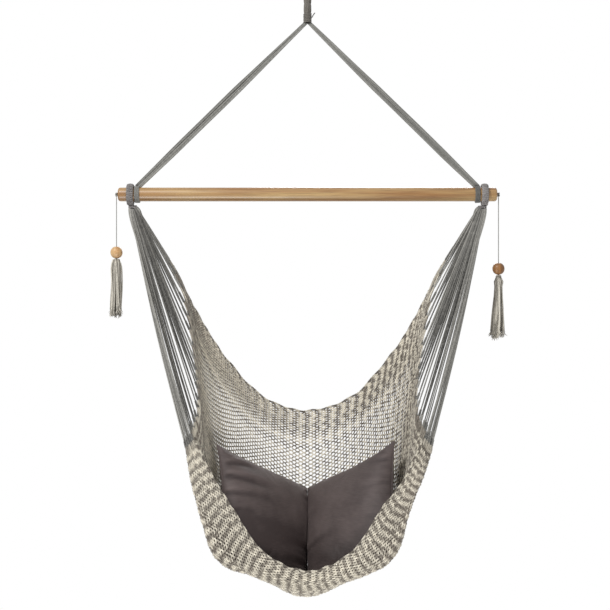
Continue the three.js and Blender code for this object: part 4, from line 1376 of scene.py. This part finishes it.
def cushion_zip(word, where):
    """The zip in the lower edge: a coil, two tapes and a slider."""
    zipper = Strands()
    x = np.linspace(-ZIP_HALF, ZIP_HALF, ZIP_TURNS * 10)
    angle = np.linspace(0, ZIP_TURNS * 2 * math.pi, len(x))
    outward = np.stack([np.zeros(len(x)), np.cos(angle), np.sin(angle)], axis=1)
    coil = outward * ZIP_COIL_RADIUS
    coil_y, tape_y, slider_y = LOW_EDGE - np.array(ZIP_DROPS)
    coil += np.stack([x, np.full(len(x), coil_y), np.zeros(len(x))], axis=1)
    zipper.add(moved(where, coil), ZIP_WIRE_RADIUS, moved(where.to_3x3(), outward))
    for offset in (-ZIP_TAPE_OFFSET, ZIP_TAPE_OFFSET):
        tape = np.linspace((-ZIP_HALF, tape_y, offset), (ZIP_HALF, tape_y, offset), 20)
        zipper.add(moved(where, tape), ZIP_TAPE_RADIUS)
    start = np.array([0.9 * ZIP_HALF, slider_y, 0])
    slider = np.linspace(start, start + [SLIDER_LENGTH, 0, 0], len(SLIDER_RADII))
    zipper.add(moved(where, slider), SLIDER_RADII)
    zip_piece = zipper.build(f"{word}_zip_coil", ZIP_PLASTIC, f"{word}_cushion",
                             f"{word}_cushion_zip")


INSERT_THICKNESS = CUSHION_THICKNESS - 0.036  # clear of the cover's creases
INSERT_SIDE = CUSHION_SIDE - 0.05


def cushion_insert(word, side, where):
    points, faces = pillow_grid(20, INSERT_THICKNESS, side, INSERT_SIDE)
    mesh = smooth_mesh(f"{word}_insert", moved(where, points), faces, FILLING)
    insert = settle(mesh, f"{word}_insert", f"{word}_cushion", f"{word}_cushion_insert")


for word, side in SIDES:
    where = cushion_frame(side)
    cushion_cover(word, side, where)
    cushion_piping(word, side, where)
    cushion_zip(word, where)
    cushion_insert(word, side, where)

# Floor, light and background

FLOOR_HEIGHT = -2.25
FLOOR_HALF = 1.45
floor_mesh = bpy.data.meshes.new("floor")
floor_mesh.from_pydata(
    [(x * FLOOR_HALF, y * FLOOR_HALF, FLOOR_HEIGHT) for x, y in ((-1, -1), (1, -1), (1, 1), (-1, 1))],
    [], [(0, 1, 2, 3)],
)
floor_shader = Shader("floor")
floor_mesh.materials.append(floor_shader.finish((0.86, 0.86, 0.85, 1), 0.8))
floor = placed("floor", floor_mesh)


def lamp(name, place, aim, size, power, deep=None):
    """A round lamp, or an oblong one where its depth is given."""
    data = bpy.data.lights.new(name, "AREA")
    data.shape = "RECTANGLE" if deep else "DISK"
    data.size = size
    if deep:
        data.size_y = deep
    data.energy = power
    source = placed(name, data)
    source.location = place
    source.rotation_euler = (Vector(aim) - Vector(place)).to_track_quat("-Z", "Y").to_euler()
    return source


CHAIR_MIDDLE = (0, 0, -1.1)
STRIPE_MIDDLE = -0.62  # of the bar's reflection, from left to right
lamp("key", (-1.9, -2.4, 1.7), CHAIR_MIDDLE, size=1.1, power=112)
fill = lamp("fill", (0.4, -1.9, -2.1), CHAIR_MIDDLE, size=0.45, power=15)
fill.visible_glossy = False  # the bar and the beads don't mirror it
lamp("behind", (0.5, 2.9, 0.4), CHAIR_MIDDLE, size=1.6, power=60)
stripe = lamp("stripe", (STRIPE_MIDDLE, -1.0, -1.95), (STRIPE_MIDDLE, 0, BAR_AXIS.z),
              size=1.15, power=18, deep=0.15)
stripe.visible_diffuse = False  # only mirrored, as a pale stripe low on the bar's left half

world = bpy.data.worlds.new("world")
bpy.context.scene.world = world
world.use_nodes = True
nodes, links = world.node_tree.nodes, world.node_tree.links
backdrop = nodes["Background"]
backdrop.inputs["Color"].default_value = (1, 1, 1, 1)
# The backdrop is white where it is seen, also in gloss and through glass, and lights less.
path = nodes.new("ShaderNodeLightPath")
seen = path.outputs["Is Camera Ray"]
for ray in ("Is Glossy Ray", "Is Transmission Ray"):
    either = nodes.new("ShaderNodeMath")
    either.operation = "MAXIMUM"
    links.new(seen, either.inputs[0])
    links.new(path.outputs[ray], either.inputs[1])
    seen = either.outputs[0]
strength = nodes.new("ShaderNodeMapRange")
strength.inputs["To Min"].default_value = 0.4
strength.inputs["To Max"].default_value = 1.0
links.new(seen, strength.inputs["Value"])
links.new(strength.outputs["Result"], backdrop.inputs["Strength"])
bpy.context.scene.view_settings.view_transform = "Standard"
